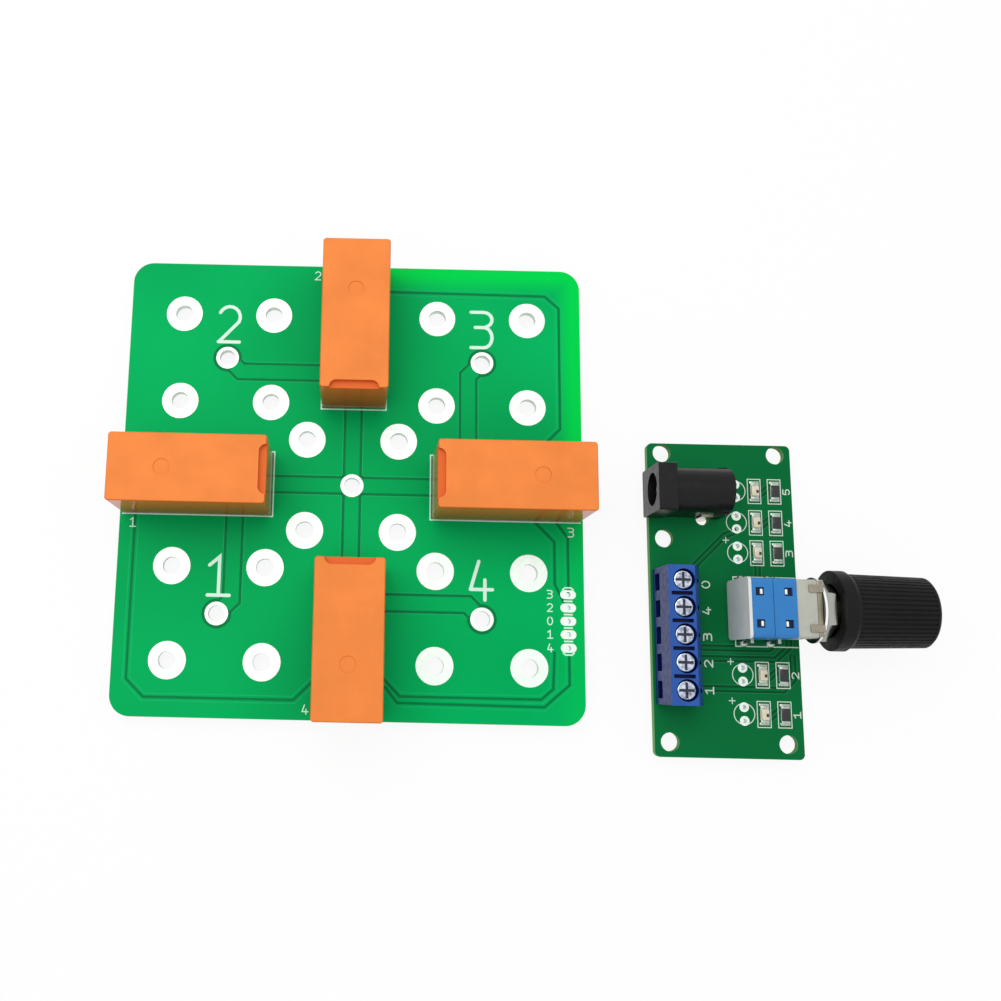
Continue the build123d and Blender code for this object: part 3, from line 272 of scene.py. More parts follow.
coverFinish = {
    "shine": 0.14,
    "topFacing": (0.6, 0.9),  # a face takes the top's finish as it comes to look up
    "patch": 7,
    "patchShades": (0.92, 1.05),
    "notchShade": (0.7, 0.3),  # painted shade in the notch, between these depths below the roof
    "notchShadeTint": (0.88, 0.6, 0.5),
    # painted shade on the sides, darkest by the board, between these heights
    "boardShadowHeights": (2, 15),
    "boardShadowShades": (0.42, 1.1),
    # painted reflections as dark upright streaks on the sides
    "streak": 1.6,
    "streakStretch": (1, 1, 0.12),
    "streakShare": 0.35,
    "streakShade": 0.6,
    "roughness": 0.12,
    "topRoughness": 0.36,  # is added on the top
    "smear": 1.2,
    "smearRoughness": 0.05,
    "grain": 0.14,
    "depth": 0.012,
}


def coverPlastic(name, colour, shadedSideColour, roof, c=coverFinish):
    # matt, spark-eroded top with painted shade in its notch; glossy sides a painted shaded orange, darker
    # towards the board
    paint = Paint(name, colour, shine=c["shine"])
    top = paint.ramp(paint.facing(), 0, 1, *c["topFacing"])
    patches = paint.spread(paint.noise(c["patch"], 3.0), 0, 1)
    matt = paint.blend(patches, shade(colour, c["patchShades"][0]), shade(colour, c["patchShades"][1]))
    # painted shade on the notch's floor below the roof
    notchShade = paint.ramp(paint.along("Z"), 1, 0, *[(roof - v) * mm for v in c["notchShade"]])
    notchShaded = tuple(v * tint for v, tint in zip(colour, c["notchShadeTint"]))
    matt = paint.blend(notchShade, matt, (*notchShaded, 1))
    # painted shade: the sides darken towards the board
    boardShadowFade = paint.ramp(paint.along("Z"), 0, 1, *[v * mm for v in c["boardShadowHeights"]])
    side = paint.blend(boardShadowFade, shade(shadedSideColour, c["boardShadowShades"][0]), shade(shadedSideColour, c["boardShadowShades"][1]))
    # painted reflections: dark upright streaks on the glossy sides
    streaks = paint.noise(c["streak"], 2.0, paint.stretched(c["streakStretch"])) * c["streakShare"]
    side = paint.blend(streaks, side, shade(shadedSideColour, c["streakShade"]))
    paint.feed("Base Color", paint.blend(top, side, matt))
    smears = paint.noise(c["smear"]) * c["smearRoughness"]
    paint.feed("Roughness", top * c["topRoughness"] + c["roughness"] + smears)
    paint.bump(paint.noise(c["grain"]) * top, c["depth"])
    return paint


def shadeBelow(paint, bright, dark, height, soft, flat=None):
    # painted shade under a height, in millimetres: the floors of slots and recesses
    shadeMask = 1 - paint.ramp(paint.along("Z"), 0, 1, (height - soft) * mm, height * mm)
    if flat:
        shadeMask = shadeMask * (paint.facing() > flat)
    paint.feed("Base Color", paint.blend(shadeMask, bright, (*dark, 1)))
    return paint


blockFinish = {
    "shine": 0.14,
    # faces steeper than this take the painted shade
    "steepShadeBelow": 0.15,
    "streak": 2.2,
    "streakStretch": (1, 0.3, 1),
    "streakShare": 0.3,
    "streakShade": 0.8,
    "slotShadeBelow": 0.6,  # under the block's top
    "slotShadeSoft": 0.1,
    "slotShadeFlat": 0.996,  # in the slots only faces that look straight up get the painted shade
    "smear": 1.1,
    "roughness": (0.28, 0.46),
    "grain": 0.2,
    "depth": 0.006,
}


def blockPlastic(name, top, steepShade, dark, blockTop, b=blockFinish):
    # painted light where a face looks up, painted shade on steep faces and in the slots
    paint = Paint(name, top, shine=b["shine"])
    facingShade = paint.blend(paint.ramp(paint.facing(), 0, 1, b["steepShadeBelow"], 1), (*steepShade, 1), (*top, 1))
    streaks = paint.noise(b["streak"], 3.0, paint.stretched(b["streakStretch"])) * b["streakShare"]
    streaked = paint.blend(streaks, facingShade, shade(steepShade, b["streakShade"]))
    shadeBelow(paint, streaked, dark, blockTop - b["slotShadeBelow"], b["slotShadeSoft"], b["slotShadeFlat"])
    paint.feed("Roughness", paint.spread(paint.noise(b["smear"]), *b["roughness"]))
    paint.bump(paint.noise(b["grain"]), b["depth"])
    return paint


screwFinish = {
    "roughness": 0.16,
    "patch": 0.7,
    "patchMargin": 0.15,
    "grain": 0.5,
    "depth": 0.05,
    "slotShadeBelow": 0.25,
    "slotShadeSoft": 0.4,
}


def screwMetal(name, colour, shadow, light, slot, headTop, s=screwFinish):
    # patches from shadow to light, and painted shade in the cross slot
    paint = mottled(name, colour, s["roughness"], 1.0, spot=s["patch"], grain=s["grain"], depth=s["depth"])
    patches = paint.spread(paint.noise(s["patch"], 3.0), 0, 1, s["patchMargin"])
    bright = paint.blend(patches, (*shadow, 1), (*light, 1))
    return shadeBelow(paint, bright, slot, headTop - s["slotShadeBelow"], s["slotShadeSoft"])


turnedFinish = {
    "pitch": 0.12,  # of the lathe's rings
    "stretch": (1, 0.03, 0.03),
    "depth": 0.004,
    "ringRoughness": 0.12,
    # painted dark reflections come in as a face turns along the axis and as it turns down
    "alongAxis": (0.25, 0.8),
    "downwards": (-0.1, 0.6),
}


def turned(name, colour, roughness, dark=None, t=turnedFinish):
    # lathe-turned metal: rings round the switch's axis, with painted dark reflections where it looks along
    # the axis or down
    paint = Paint(name, colour, roughness, 1.0)
    rings = paint.noise(t["pitch"], 1.0, paint.stretched(t["stretch"]))
    if dark:
        across = paint.ramp(abs(paint.facing("X")), 0, 1, *t["alongAxis"])
        downwardReflection = paint.ramp(paint.facing(), 1, 0, *t["downwards"])
        paint.feed("Base Color", paint.blend(across.larger(downwardReflection), (*colour, 1), (*dark, 1)))
    paint.feed("Roughness", rings * t["ringRoughness"] + (roughness - t["ringRoughness"] / 2))
    paint.bump(rings, t["depth"])
    return paint


relayGreen = (0.001, 0.43, 0.107)
controlGreen = (0.004, 0.155, 0.042)
# painted highlight by the relay board's right and upper rims
relayRimHighlight = {"rim": (39.6, 43.4), "lower": 0.3, "colour": (0.0, 0.66, 0.075)}
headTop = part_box("clamp_screw_1")[1].z / mm
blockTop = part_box("terminal_housing")[1].z / mm
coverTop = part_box("k1_cover")[1].z / mm
paints = {
    "relayMask": solderMask("relayMask", relayGreen, relayRimHighlight, (0.03, 0.5, 0.16)),
    "controlMask": solderMask("controlMask", controlGreen, None, (0.2, 0.42, 0.16)),
    # painted shade in the grooves and painted highlights on the ridges beside the tracks
    "relayGrooveShade": mottled("relayGrooveShade", (0.0, 0.2, 0.055), 0.35, shine=0.05),
    "controlGrooveShade": mottled("controlGrooveShade", (0.002, 0.07, 0.022), 0.35, shine=0.05),
    "relayRidgeHighlight": mottled("relayRidgeHighlight", (0.006, 0.48, 0.14), 0.3, shine=0.05),
    "controlRidgeHighlight": mottled("controlRidgeHighlight", (0.015, 0.22, 0.075), 0.3, shine=0.05),
    "relaySilk": mottled("relaySilk", (0.7, 0.97, 0.82), 0.5, spot=0.6, spread=0.05, shine=0.1),
    "controlSilk": mottled("controlSilk", (0.66, 0.78, 0.68), 0.5, spot=0.6, spread=0.06, shine=0.1),
    "tin": mottled(
        "tin", (0.82, 0.93, 0.85), 0.4, metallic=0.3, spot=2.4, spread=0.07, grain=0.8, depth=0.02, shine=0.2
    ),
    "solder": mottled(
        "solder", (0.42, 0.48, 0.42), 0.28, metallic=1.0, spot=0.5, spread=0.5, grain=0.5, depth=0.04
    ),
    # the second colour is a painted shaded copy of the orange, for the sides
    "coverOrange": coverPlastic("coverOrange", (0.87, 0.243, 0.05), (0.66, 0.115, 0.014), coverTop),
    "baseBlack": mottled("baseBlack", (0.02, 0.02, 0.02), 0.6),
    "bobbinIvory": mottled("bobbinIvory", (0.75, 0.7, 0.58), 0.5),
    "copperWire": mottled("copperWire", (0.6, 0.22, 0.08), 0.35, metallic=1.0),
    "softIron": mottled("softIron", (0.5, 0.5, 0.5), 0.35, metallic=1.0),
    "contactBronze": mottled("contactBronze", (0.72, 0.46, 0.2), 0.3, metallic=1.0),
    "cardIvory": mottled("cardIvory", (0.8, 0.78, 0.7), 0.5),
    # lit top, painted shade on steep faces and painted shade in the slots
    "terminalBlue": blockPlastic(
        "terminalBlue", (0.03, 0.11, 0.42), (0.003, 0.022, 0.17), (0.0005, 0.006, 0.075), blockTop
    ),
    # painted shadow and light patches, and painted shade in the cross slot
    "screwSteel": screwMetal(
        "screwSteel", (0.86, 0.87, 0.92), (0.2, 0.22, 0.28), (0.7, 0.77, 0.9), (0.05, 0.05, 0.07), headTop
    ),
    "nickel": mottled("nickel", (0.66, 0.62, 0.54), 0.26, metallic=1.0),
    "jackBlack": mottled(
        "jackBlack", (0.007, 0.007, 0.007), 0.3, spot=3, spread=0.3, depth=0.006, shine=0.18
    ),
    "switchWhite": mottled("switchWhite", (0.72, 0.75, 0.73), 0.5, shine=0.2),
    "switchBlue": mottled("switchBlue", (0.038, 0.205, 0.52), 0.34, spot=2.5, shine=0.14),
    "switchGrey": mottled(
        "switchGrey", (0.47, 0.48, 0.42), 0.5, spot=1.5, spread=0.12, grain=0.25, depth=0.01, shine=0.2
    ),
    # painted shade: a dark fill for the insides of the switch's windows
    "windowShade": mottled("windowShade", (0.006, 0.012, 0.05), 0.5, shine=0.2),
    "zincPlate": mottled("zincPlate", (0.3, 0.27, 0.21), 0.34, metallic=1.0, spot=1.5, spread=0.25),
    # the last colour is the painted dark reflection
    "chromed": turned("chromed", (0.9, 0.92, 0.9), 0.1, (0.05, 0.06, 0.055)),
    "nutSteel": turned("nutSteel", (0.38, 0.4, 0.36), 0.16, (0.03, 0.035, 0.03)),
    "turnedSteel": turned("turnedSteel", (0.7, 0.7, 0.7), 0.22),
    "rotorBlack": mottled("rotorBlack", (0.03, 0.03, 0.03), 0.5),
    "knobBlack": mottled(
        "knobBlack", (0.008, 0.008, 0.008), 0.46, spot=4, spread=0.3, grain=0.1, depth=0.006, shine=0.12
    ),
    "capBlue": mottled("capBlue", (0.13, 0.27, 0.56), 0.48, spot=5, spread=0.06, depth=0.008),
    "pointerInk": mottled("pointerInk", (0.012, 0.02, 0.06), 0.45),
    "chipFilm": mottled("chipFilm", (0.014, 0.014, 0.016), 0.25),
    "chipCeramic": mottled("chipCeramic", (0.75, 0.74, 0.7), 0.5),
    "ledResin": mottled("ledResin", (0.72, 0.66, 0.46), 0.2, coat=0.5, spot=0.6),
}
print("materials made:", len(paints))


# an even white studio with one soft lamp
studio = {
    "worldStrength": 0.68,
    "lampPower": 1.0,
    "lampPlace": (-90, 120, 420),
    "lampSize": 400,
    "floorSide": 6000,
    "floorColour": (0.93, 0.93, 0.93),
    "floorRoughness": 0.9,
    "floorGlow": 0.9,  # share of plain white in what the camera sees of the floor
}


def makeStudio(s):
    world = bpy.data.worlds.new("studio")
    bpy.context.scene.world = world
    world.use_nodes = True
    sky = world.node_tree.nodes["Background"]
    sky.inputs["Color"].default_value = (1, 1, 1, 1)
    graph = Graph(world.node_tree)
    strength = graph.seenDirectly() * (1 - s["worldStrength"]) + s["worldStrength"]
    graph.tree.links.new(strength.socket, sky.inputs["Strength"])

    lamp = bpy.data.lights.new("softLamp", "AREA")
    lamp.shape = "SQUARE"
    lamp.size = s["lampSize"] * mm
    lamp.energy = s["lampPower"]
    lampObject = bpy.data.objects.new("softLamp", lamp)
    lampObject.location = Vector(s["lampPlace"]) * mm
    aim = Vector((cadLow.x + cadHigh.x, cadLow.y + cadHigh.y, 0)) / 2 - lampObject.location
    lampObject.rotation_euler = aim.to_track_quat("-Z", "Y").to_euler()
    bpy.context.scene.collection.objects.link(lampObject)
    bpy.context.scene.view_settings.view_transform = "Standard"


def makeFloor(s):
    bm = bmesh.new()
    bmesh.ops.create_grid(bm, x_segments=1, y_segments=1, size=s["floorSide"] / 2 * mm)
    mesh = bpy.data.meshes.new("floor")
    bm.to_mesh(mesh)
    bm.free()
    paint = Paint("floor", s["floorColour"], s["floorRoughness"])
    white = paint.node("ShaderNodeEmission", {}, {"Color": (1, 1, 1, 1), "Strength": 1.0})
    plain = Wire(paint, paint.shader.outputs[0])
    share = paint.seenDirectly() * s["floorGlow"]
    mixed = paint.node("ShaderNodeMixShader", {}, {0: share, 1: plain, 2: white})
    paint.tree.links.new(mixed.socket, paint.tree.nodes["Material Output"].inputs["Surface"])
    mesh.materials.append(paint.material)
    floor = bpy.data.objects.new("floor", mesh)
    floor.location.z = floorHeight * mm
    bpy.context.scene.collection.objects.link(floor)


makeStudio(studio)
makeFloor(studio)
print("studio lit")


# what every piece is made with; sizes in millimetres, angles in degrees
shaping = {
    "smoothAngle": 35,  # faces that meet at less than this shade as one
    "bevelAngle": 50,  # a CAD edge sharper than this is rounded
    "bevelSteps": 2,
    "mergeGap": 0.002,
    "flatAngle": 1,
    "poleGap": 0.0005,
    "mitre": 0.4,  # at its sharpest corner a strip is one over this of its width
    "capAngles": (30, 55, 78),  # the points of a strip's rounded end
    "strokeStep": 0.003,  # each stroke of a figure lies this much above the last
}
quarters = ((1, 0), (0, 1), (-1, 0), (0, -1))  # cosine and sine of each quarter turn


def finished(name, bm, paint, body="boards", replaces=()):
    # sizes become metres, the faces shade smoothly up to an angle, and the piece rides on its body
    mesh = bpy.data.meshes.new(name)
    bmesh.ops.scale(bm, vec=(mm, mm, mm), verts=bm.verts)
    bm.to_mesh(mesh)
    bm.free()
    mesh.shade_smooth()
    mesh.set_sharp_from_angle(angle=math.radians(shaping["smoothAngle"]))
    mesh.materials.append(paints[paint].material)
    piece = bpy.data.objects.new(name, mesh)
    bpy.context.scene.collection.objects.link(piece)
    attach(piece, body)
    if replaces:
        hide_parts(*replaces)
    return piece


def merged(node):
    # a CAD node's shape as a clean mesh, in millimetres
    bm = bmesh.new()
    bm.from_mesh(nodes[node].data)
    bmesh.ops.scale(bm, vec=(1 / mm,) * 3, verts=bm.verts)
    bmesh.ops.remove_doubles(bm, verts=bm.verts, dist=shaping["mergeGap"])
    flat = math.radians(shaping["flatAngle"])
    bmesh.ops.dissolve_limit(bm, angle_limit=flat, verts=bm.verts, edges=bm.edges, delimit={"NORMAL"})
    return bm


def bevelled(bm, edges, width):
    bmesh.ops.bevel(
        bm, geom=edges, offset=width, offset_type="OFFSET", affect="EDGES", segments=shaping["bevelSteps"],
        profile=0.5, clamp_overlap=True, material=-1,
    )


def eased(node, width, paint, slot, body="boards"):
    # the CAD shape with its sharp edges rounded
    bm = merged(node)
    sharp = math.radians(shaping["bevelAngle"])
    bevelled(bm, [e for e in bm.edges if len(e.link_faces) == 2 and e.calc_face_angle() > sharp], width)
    bmesh.ops.recalc_face_normals(bm, faces=bm.faces)
    piece = finished(node + "_finish", bm, paint, body, (node,))
    piece.modifiers.new("evenShading", "WEIGHTED_NORMAL").keep_sharp = True


def block(bm, low, high, rounding=0.0):
    # a box between two corners, with its edges rounded
    low, high = Vector(low), Vector(high)
    matrix = Matrix.Translation((low + high) / 2) @ Matrix.Diagonal((*(high - low), 1))
    verts = bmesh.ops.create_cube(bm, size=1, matrix=matrix)["verts"]
    if rounding:
        bevelled(bm, list({e for v in verts for e in v.link_edges}), rounding)


def lathe(bm, profile, place, steps):
    # spins (radius, height) points about an upright axis, closes the poles and moves it to its place
    verts = [bm.verts.new((r, 0, h)) for r, h in profile]
    edges = [bm.edges.new(pair) for pair in zip(verts, verts[1:])]
    before = set(bm.faces)
    bmesh.ops.spin(
        bm, geom=verts + edges, cent=(0, 0, 0), axis=(0, 0, 1), angle=math.tau, steps=steps, use_merge=True
    )
    around = list({v for f in bm.faces if f not in before for v in f.verts})
    bmesh.ops.remove_doubles(bm, verts=around, dist=shaping["poleGap"])
    around = list({v for f in bm.faces if f not in before for v in f.verts})
    bmesh.ops.translate(bm, vec=place, verts=around)


def arc(centreX, centreY, radiusX, radiusY, start, end, steps):
    angles = [math.radians(start + (end - start) * i / steps) for i in range(steps + 1)]
    return [(centreX + radiusX * math.cos(a), centreY + radiusY * math.sin(a)) for a in angles]


def stripEdges(points, half, closed):
    # each point with the step from it to the strip's left edge, longer at a mitred corner
    stations = []
    count = len(points)
    for i, point in enumerate(points):
        before = points[i - 1] if i or closed else None
        after = points[(i + 1) % count] if i < count - 1 or closed else None
        come = (point - before).normalized() if before is not None else None
        go = (after - point).normalized() if after is not None else None
        come, go = come or go, go or come
        along = (come + go).normalized()
        across = Vector((-along.y, along.x, 0))
        stretch = 1 / max(shaping["mitre"], along.dot(go))
        stations.append((point, across * half * stretch))
    return stations


def endCap(station, half, sign):
    # stations that narrow round the end of a strip, from its last station outwards
    point, across = station
    outward = Vector((across.y, -across.x, 0)).normalized() * sign
    angles = [math.radians(d) for d in shaping["capAngles"]]
    return [(point + outward * half * math.sin(a), across * math.cos(a)) for a in angles]


def ribbon(bm, points, width, low, high, closed=False, roundEnds=False):
    # a flat strip along the points, between two heights
    half = width / 2
    stations = stripEdges([Vector((*p, 0)) for p in points], half, closed)
    if roundEnds:
        first, last = endCap(stations[0], half, -1), endCap(stations[-1], half, 1)
        stations = first[::-1] + stations + last
    up = Vector((0, 0, high))
    point, across = stations[0]
    ends = [bm.verts.new(point + across + up), bm.verts.new(point - across + up)]
    start = edge = bm.edges.new(ends)
    left = ends[0]
    faces = []
    for point, across in stations[1:]:
        made = bmesh.ops.extrude_edge_only(bm, edges=[edge])["geom"]
        edge = next(g for g in made if isinstance(g, bmesh.types.BMEdge))
        faces.append(next(iter(edge.link_faces)))
        newLeft = next(v for v in edge.verts if any(e.other_vert(v) is left for e in v.link_edges))
        edge.other_vert(newLeft).co = point - across + up
        newLeft.co = point + across + up
        left = newLeft
    if closed:
        faces += bmesh.ops.bridge_loops(bm, edges=[edge, start])["faces"]
    bmesh.ops.recalc_face_normals(bm, faces=faces)
    if faces[0].normal.z < 0:
        bmesh.ops.reverse_faces(bm, faces=faces)
    bmesh.ops.solidify(bm, geom=faces, thickness=high - low)


# plain stroke figures in a box one wide and one high
figures = {
    "0": [arc(0.5, 0.5, 0.5, 0.5, 90, 450, 20)],
    "1": [[(0.05, 0.78), (0.5, 1), (0.5, 0)], [(0, 0), (1, 0)]],
    "2": [arc(0.5, 0.7, 0.5, 0.3, 155, -25, 9) + [(0.02, 0)], [(0, 0), (1, 0)]],
    "3": [
        [(0, 1)] + arc(0.6, 0.79, 0.4, 0.21, 90, -75, 8),
        [(0.2, 0.57)] + arc(0.6, 0.285, 0.4, 0.285, 85, -90, 10) + [(0, 0)],
    ],
    "4": [[(0.38, 1), (0, 0.27)], [(0, 0.27), (1, 0.27)], [(0.66, 0.52), (0.66, 0)]],
    "5": [[(0.9, 1), (0.12, 1)], [(0.12, 1), (0.06, 0.56)] + arc(0.48, 0.31, 0.46, 0.31, 105, -150, 10)],
    "+": [[(0, 0.5), (1, 0.5)], [(0.5, 0), (0.5, 1)]],
}


def drawFigure(bm, figure, middle, size, stroke, low, high, turn=0):
    # turn is in degrees, anticlockwise
    c, s = math.cos(math.radians(turn)), math.sin(math.radians(turn))
    for layer, points in enumerate(figures[figure]):
        placed = []
        for x, y in points:
            u, v = (x - 0.5) * size[0], (y - 0.5) * size[1]
            placed.append((middle[0] + u * c - v * s, middle[1] + u * s + v * c))
        ribbon(bm, placed, stroke, low, high + layer * shaping["strokeStep"], roundEnds=True)


# relay board: painted highlight lines and painted shade in the grooves beside its tracks, printed figures and
# outlines
relayPrint = {
    "portOffset": 25.4,
    "padRadius": 2.25,
    "padLap": 0.1,  # of a track over its pad
    "diagonal": 0.7071,
    "ringShadeWidth": 0.5,
    "ringShadeLap": 0.2,
    "ringSteps": 40,
    "bend": 2.75,  # from a port's centre to its track's straight run
    "ridgeHighlightSpan": 4.1,  # over the painted highlight lines outside a wide track's grooves
    "grooveSpan": 3.75,  # over both its grooves of painted shade
    "wideTrack": 2.75,
    "narrowRidgeHighlight": 1.5,
    "narrowTrack": 1.2,
    "narrowGrooveShade": 0.5,
    "relayReach": 15.6,  # from the middle of the board to a relay's inner end
    "wideEnd": 16.6,  # where the middle port's tracks end, under the relays
    "sideEnd": 6.0,  # where the other ports' tracks end, from a relay's middle line
    "narrowRoutes": [
        [(6, 39.9), (38, 39.6), (40.8, 37.1), (40.8, 12.2), (38, 9.4), (38, 6)],
        [(-42, -6), (-42, -38), (-38.6, -41.3), (-10.2, -41.3), (-6, -37.1)],
        [(6, -36.2), (9.9, -40.2), (36.6, -40.2), (38.9, -38.2), (39.2, -31.2)],
        [(7, -38.4), (9.4, -41.4), (37.2, -41.6), (42, -37.4), (42, -31.8)],
        [(35.2, -6), (39.4, -10.2), (39.4, -18.4), (41.4, -22.4)],
        [(39.5, -6), (42, -9.4), (42, -20)],
    ],
    "sink": 0.05,  # of every strip into the board
    "hair": 0.0004,  # between strips of one layer, where they cross
    "narrowRidgeHighlightHeight": 0.003,
    "ridgeHighlightHeight": 0.006,
    "grooveHeight": 0.012,
    "ringShadeHeight": 0.013,
    "narrowTrackHeight": 0.014,
    "narrowGrooveShadeHeight": 0.019,
    "trackHeight": 0.022,
    "silkHeight": 0.034,
    "outline": [(44.6, 6.42), (15.3, 6.42), (15.3, -6.42), (44.6, -6.42)],
    "outlineLine": 0.22,
    "portFigures": {"1": (-25.2, -18.2), "2": (-25.3, 32.4), "3": (25.3, 32.3), "4": (25.3, -18.0)},
    "portFigureSize": (4.2, 7.4),
    "portFigureStroke": 0.66,
    "relayFigures": {"2": (-7.8, 43.0), "1": (-42.4, -8.1), "3": (42.6, -8.3), "4": (-7.9, -43.0)},
    "relayFigureSize": (1.1, 1.7),
    "smallStroke": 0.2,
    "headerX": 41.91,
    "headerY": -25.4,
    "headerPitch": 2.54,
    "headerFigures": "32014",
    "headerFigureSize": (0.95, 1.45),
    "headerFigureBack": 3.5,
    "dashHalf": 0.85,
    "dashWidth": 0.3,
    "bracket": [(-1.1, -0.3), (-0.6, 0.15), (0.6, 0.15), (1.1, -0.3)],
    "bracketPast": 1.15,  # beyond the last hole
    "bracketWidth": 0.26,
}


def wideRoutes(p):
    # from each port's pad to under a relay
    rim = p["padRadius"] - p["padLap"]
    near, far = p["portOffset"] - rim * p["diagonal"], p["portOffset"] - p["bend"]
    end, side = p["wideEnd"], p["sideEnd"]
    return [[(rim * a, rim * b), (end * a, end * b)] for a, b in quarters] + [
        [(-near, near), (-far, far), (-side, far)],
        [(near, near), (far, far), (far, side)],
        [(-near, -near), (-far, -far), (-far, -side)],
        [(near, -near), (far, -far), (side, -far)],
    ]


def makeRelayTracks(p):
    # each layer lies a hair above the last: painted highlight lines on the ridges, painted shade in the
    # grooves, then the lacquer between them
    base, hair = boardTop - p["sink"], p["hair"]
    ridgeHighlights, grooves, tracks = bmesh.new(), bmesh.new(), bmesh.new()
    for i, points in enumerate(wideRoutes(p)):
        ribbon(ridgeHighlights, points, p["ridgeHighlightSpan"], base, boardTop + p["ridgeHighlightHeight"] - i * hair)
        ribbon(grooves, points, p["grooveSpan"], base, boardTop + p["grooveHeight"] - i * hair)
        ribbon(tracks, points, p["wideTrack"], base, boardTop + p["trackHeight"] + i * hair)
    for i, points in enumerate(p["narrowRoutes"]):
        ribbon(ridgeHighlights, points, p["narrowRidgeHighlight"], base, boardTop + p["narrowRidgeHighlightHeight"] - i * hair / 2)
        ribbon(tracks, points, p["narrowTrack"], base, boardTop + p["narrowTrackHeight"] + i * hair)
        ribbon(grooves, points, p["narrowGrooveShade"], base, boardTop + p["narrowGrooveShadeHeight"] + i * hair)
    # painted shade in a groove round each port's pad
    ring = p["padRadius"] + p["ringShadeWidth"] / 2
    ports = [(0, 0)] + [(p["portOffset"] * a, p["portOffset"] * b) for a in (-1, 1) for b in (-1, 1)]
    for x, y in ports:
        circle = arc(x, y, ring, ring, 0, 360, p["ringSteps"])[:-1]
        ribbon(grooves, circle, p["ringShadeWidth"] + p["ringShadeLap"], base, boardTop + p["ringShadeHeight"], closed=True)
    finished("relay_board_ridge_highlights", ridgeHighlights, "relayRidgeHighlight")
    finished("relay_board_grooves", grooves, "relayGrooveShade")
    finished("relay_board_tracks", tracks, "relayMask")


def makeRelayPrint(p):
    silk = bmesh.new()
    base, top = boardTop - p["sink"], boardTop + p["silkHeight"]
    for figure, middle in p["portFigures"].items():
        drawFigure(silk, figure, middle, p["portFigureSize"], p["portFigureStroke"], base, top)
    for c, s in quarters:
        placed = [(x * c - y * s, x * s + y * c) for x, y in p["outline"]]
        ribbon(silk, placed, p["outlineLine"], base, top)

    # the header's figures, the dashes between its holes and the brackets at its ends
    x, middle, pitch = p["headerX"], p["headerY"], p["headerPitch"]
    count = len(p["headerFigures"])
    for i, figure in enumerate(p["headerFigures"]):
        place = (x - p["headerFigureBack"], middle + pitch * ((count - 1) / 2 - i))
        drawFigure(silk, figure, place, p["headerFigureSize"], p["smallStroke"], base, top)
    for i in range(count - 1):
        y = middle + pitch * ((count - 2) / 2 - i)
        ribbon(silk, [(x - p["dashHalf"], y), (x + p["dashHalf"], y)], p["dashWidth"], base, top)
    for side in (-1, 1):
        end = middle + side * (pitch * (count - 1) / 2 + p["bracketPast"])
        bracket = [(x + dx, end + side * dy) for dx, dy in p["bracket"]]
        ribbon(silk, bracket, p["bracketWidth"], base, top)
    for figure, place in p["relayFigures"].items():
        drawFigure(silk, figure, place, p["relayFigureSize"], p["smallStroke"], base, top)
    finished("relay_board_print", silk, "relaySilk")


makeRelayTracks(relayPrint)
makeRelayPrint(relayPrint)
print("relay board printed")


# control board: the same, round its lights, resistors, terminals and switch
controlPrint = {
    "shift": 0.4,  # the parts' middle stands this far above the middle of the outline
    "ledX": 3.0,
    "ledRows": (20.4, 14.2, 8.3, -14.9, -22.2),
    "ledRing": 1.95,
    "ringArcs": ((-70, 70), (110, 250)),
    "ringSteps": 12,
    "plus": (-2.2, 2.4),  # from the middle of the ring
    "plusSize": (1.1, 1.1),
    "chipLedX": 6.7,
    "chipResistorX": 10.6,
    "boxHalf": (1.25, 2.4),
    "line": 0.17,
    "rowFigures": "54321",
    "rowFigureX": 12.95,
    "rowFigureSize": (1.1, 1.25),
    "rowFigureStroke": 0.2,
    "terminalFigures": "04321",
    "terminalFigureX": -3.4,
    "terminalFigureSize": (1.25, 1.5),
    "terminalFigureStroke": 0.24,
    "terminalTop": 2.0,
    "terminalPitch": 5.0,
    "switchOutline": [(13.8, 3.6), (1.9, 3.6), (1.9, -9.6), (13.8, -9.6)],
    "switchLine": 0.22,
    "routes": [
        [(-6.4, 4.6), (0.6, 11.6), (3, 12.6)],
        [(6.7, 6.2), (6.7, 1.2)],
        [(-6, -10.0), (8.2, -10.0), (10.2, -8.2), (10.2, -5)],
        [(-6, -12.0), (9.4, -12.0), (12.0, -9.6), (12.0, -5)],
        [(-6, -17.6), (10.6, -17.6), (12.6, -15.6), (12.6, -11)],
    ],
    "linkedRows": (0, 1, 3, 4),  # rows whose light's and resistor's tracks show between them
    "link": [(7.4, -1), (9.8, 1)],
    # widths of the track, its grooves of painted shade and its ridges of painted highlight
    "track": 0.5,
    "groove": 1.3,
    "ridgeHighlight": 1.55,
    "ridgeHighlightHeight": 0.006,
    "grooveHeight": 0.012,
    "trackHeight": 0.02,
}
boardLow, boardHigh = (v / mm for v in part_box("control_board"))
control = (boardLow + boardHigh) / 2 + Vector((0, controlPrint["shift"], 0))


def onControl(points):
    return [(control.x + x, control.y + y) for x, y in points]


def makeControlTracks(p):
    base, hair = boardTop - relayPrint["sink"], relayPrint["hair"]
    links = [[(x, p["ledRows"][row] + y) for x, y in p["link"]] for row in p["linkedRows"]]
    ridgeHighlights, grooves, tracks = bmesh.new(), bmesh.new(), bmesh.new()
    for i, route in enumerate(p["routes"] + links):
        points = onControl(route)
        ribbon(ridgeHighlights, points, p["ridgeHighlight"], base, boardTop + p["ridgeHighlightHeight"] - i * hair)
        ribbon(grooves, points, p["groove"], base, boardTop + p["grooveHeight"] - i * hair)
        ribbon(tracks, points, p["track"], base, boardTop + p["trackHeight"] + i * hair)
    finished("control_board_ridge_highlights", ridgeHighlights, "controlRidgeHighlight")
    finished("control_board_grooves", grooves, "controlGrooveShade")
    finished("control_board_tracks", tracks, "controlMask")


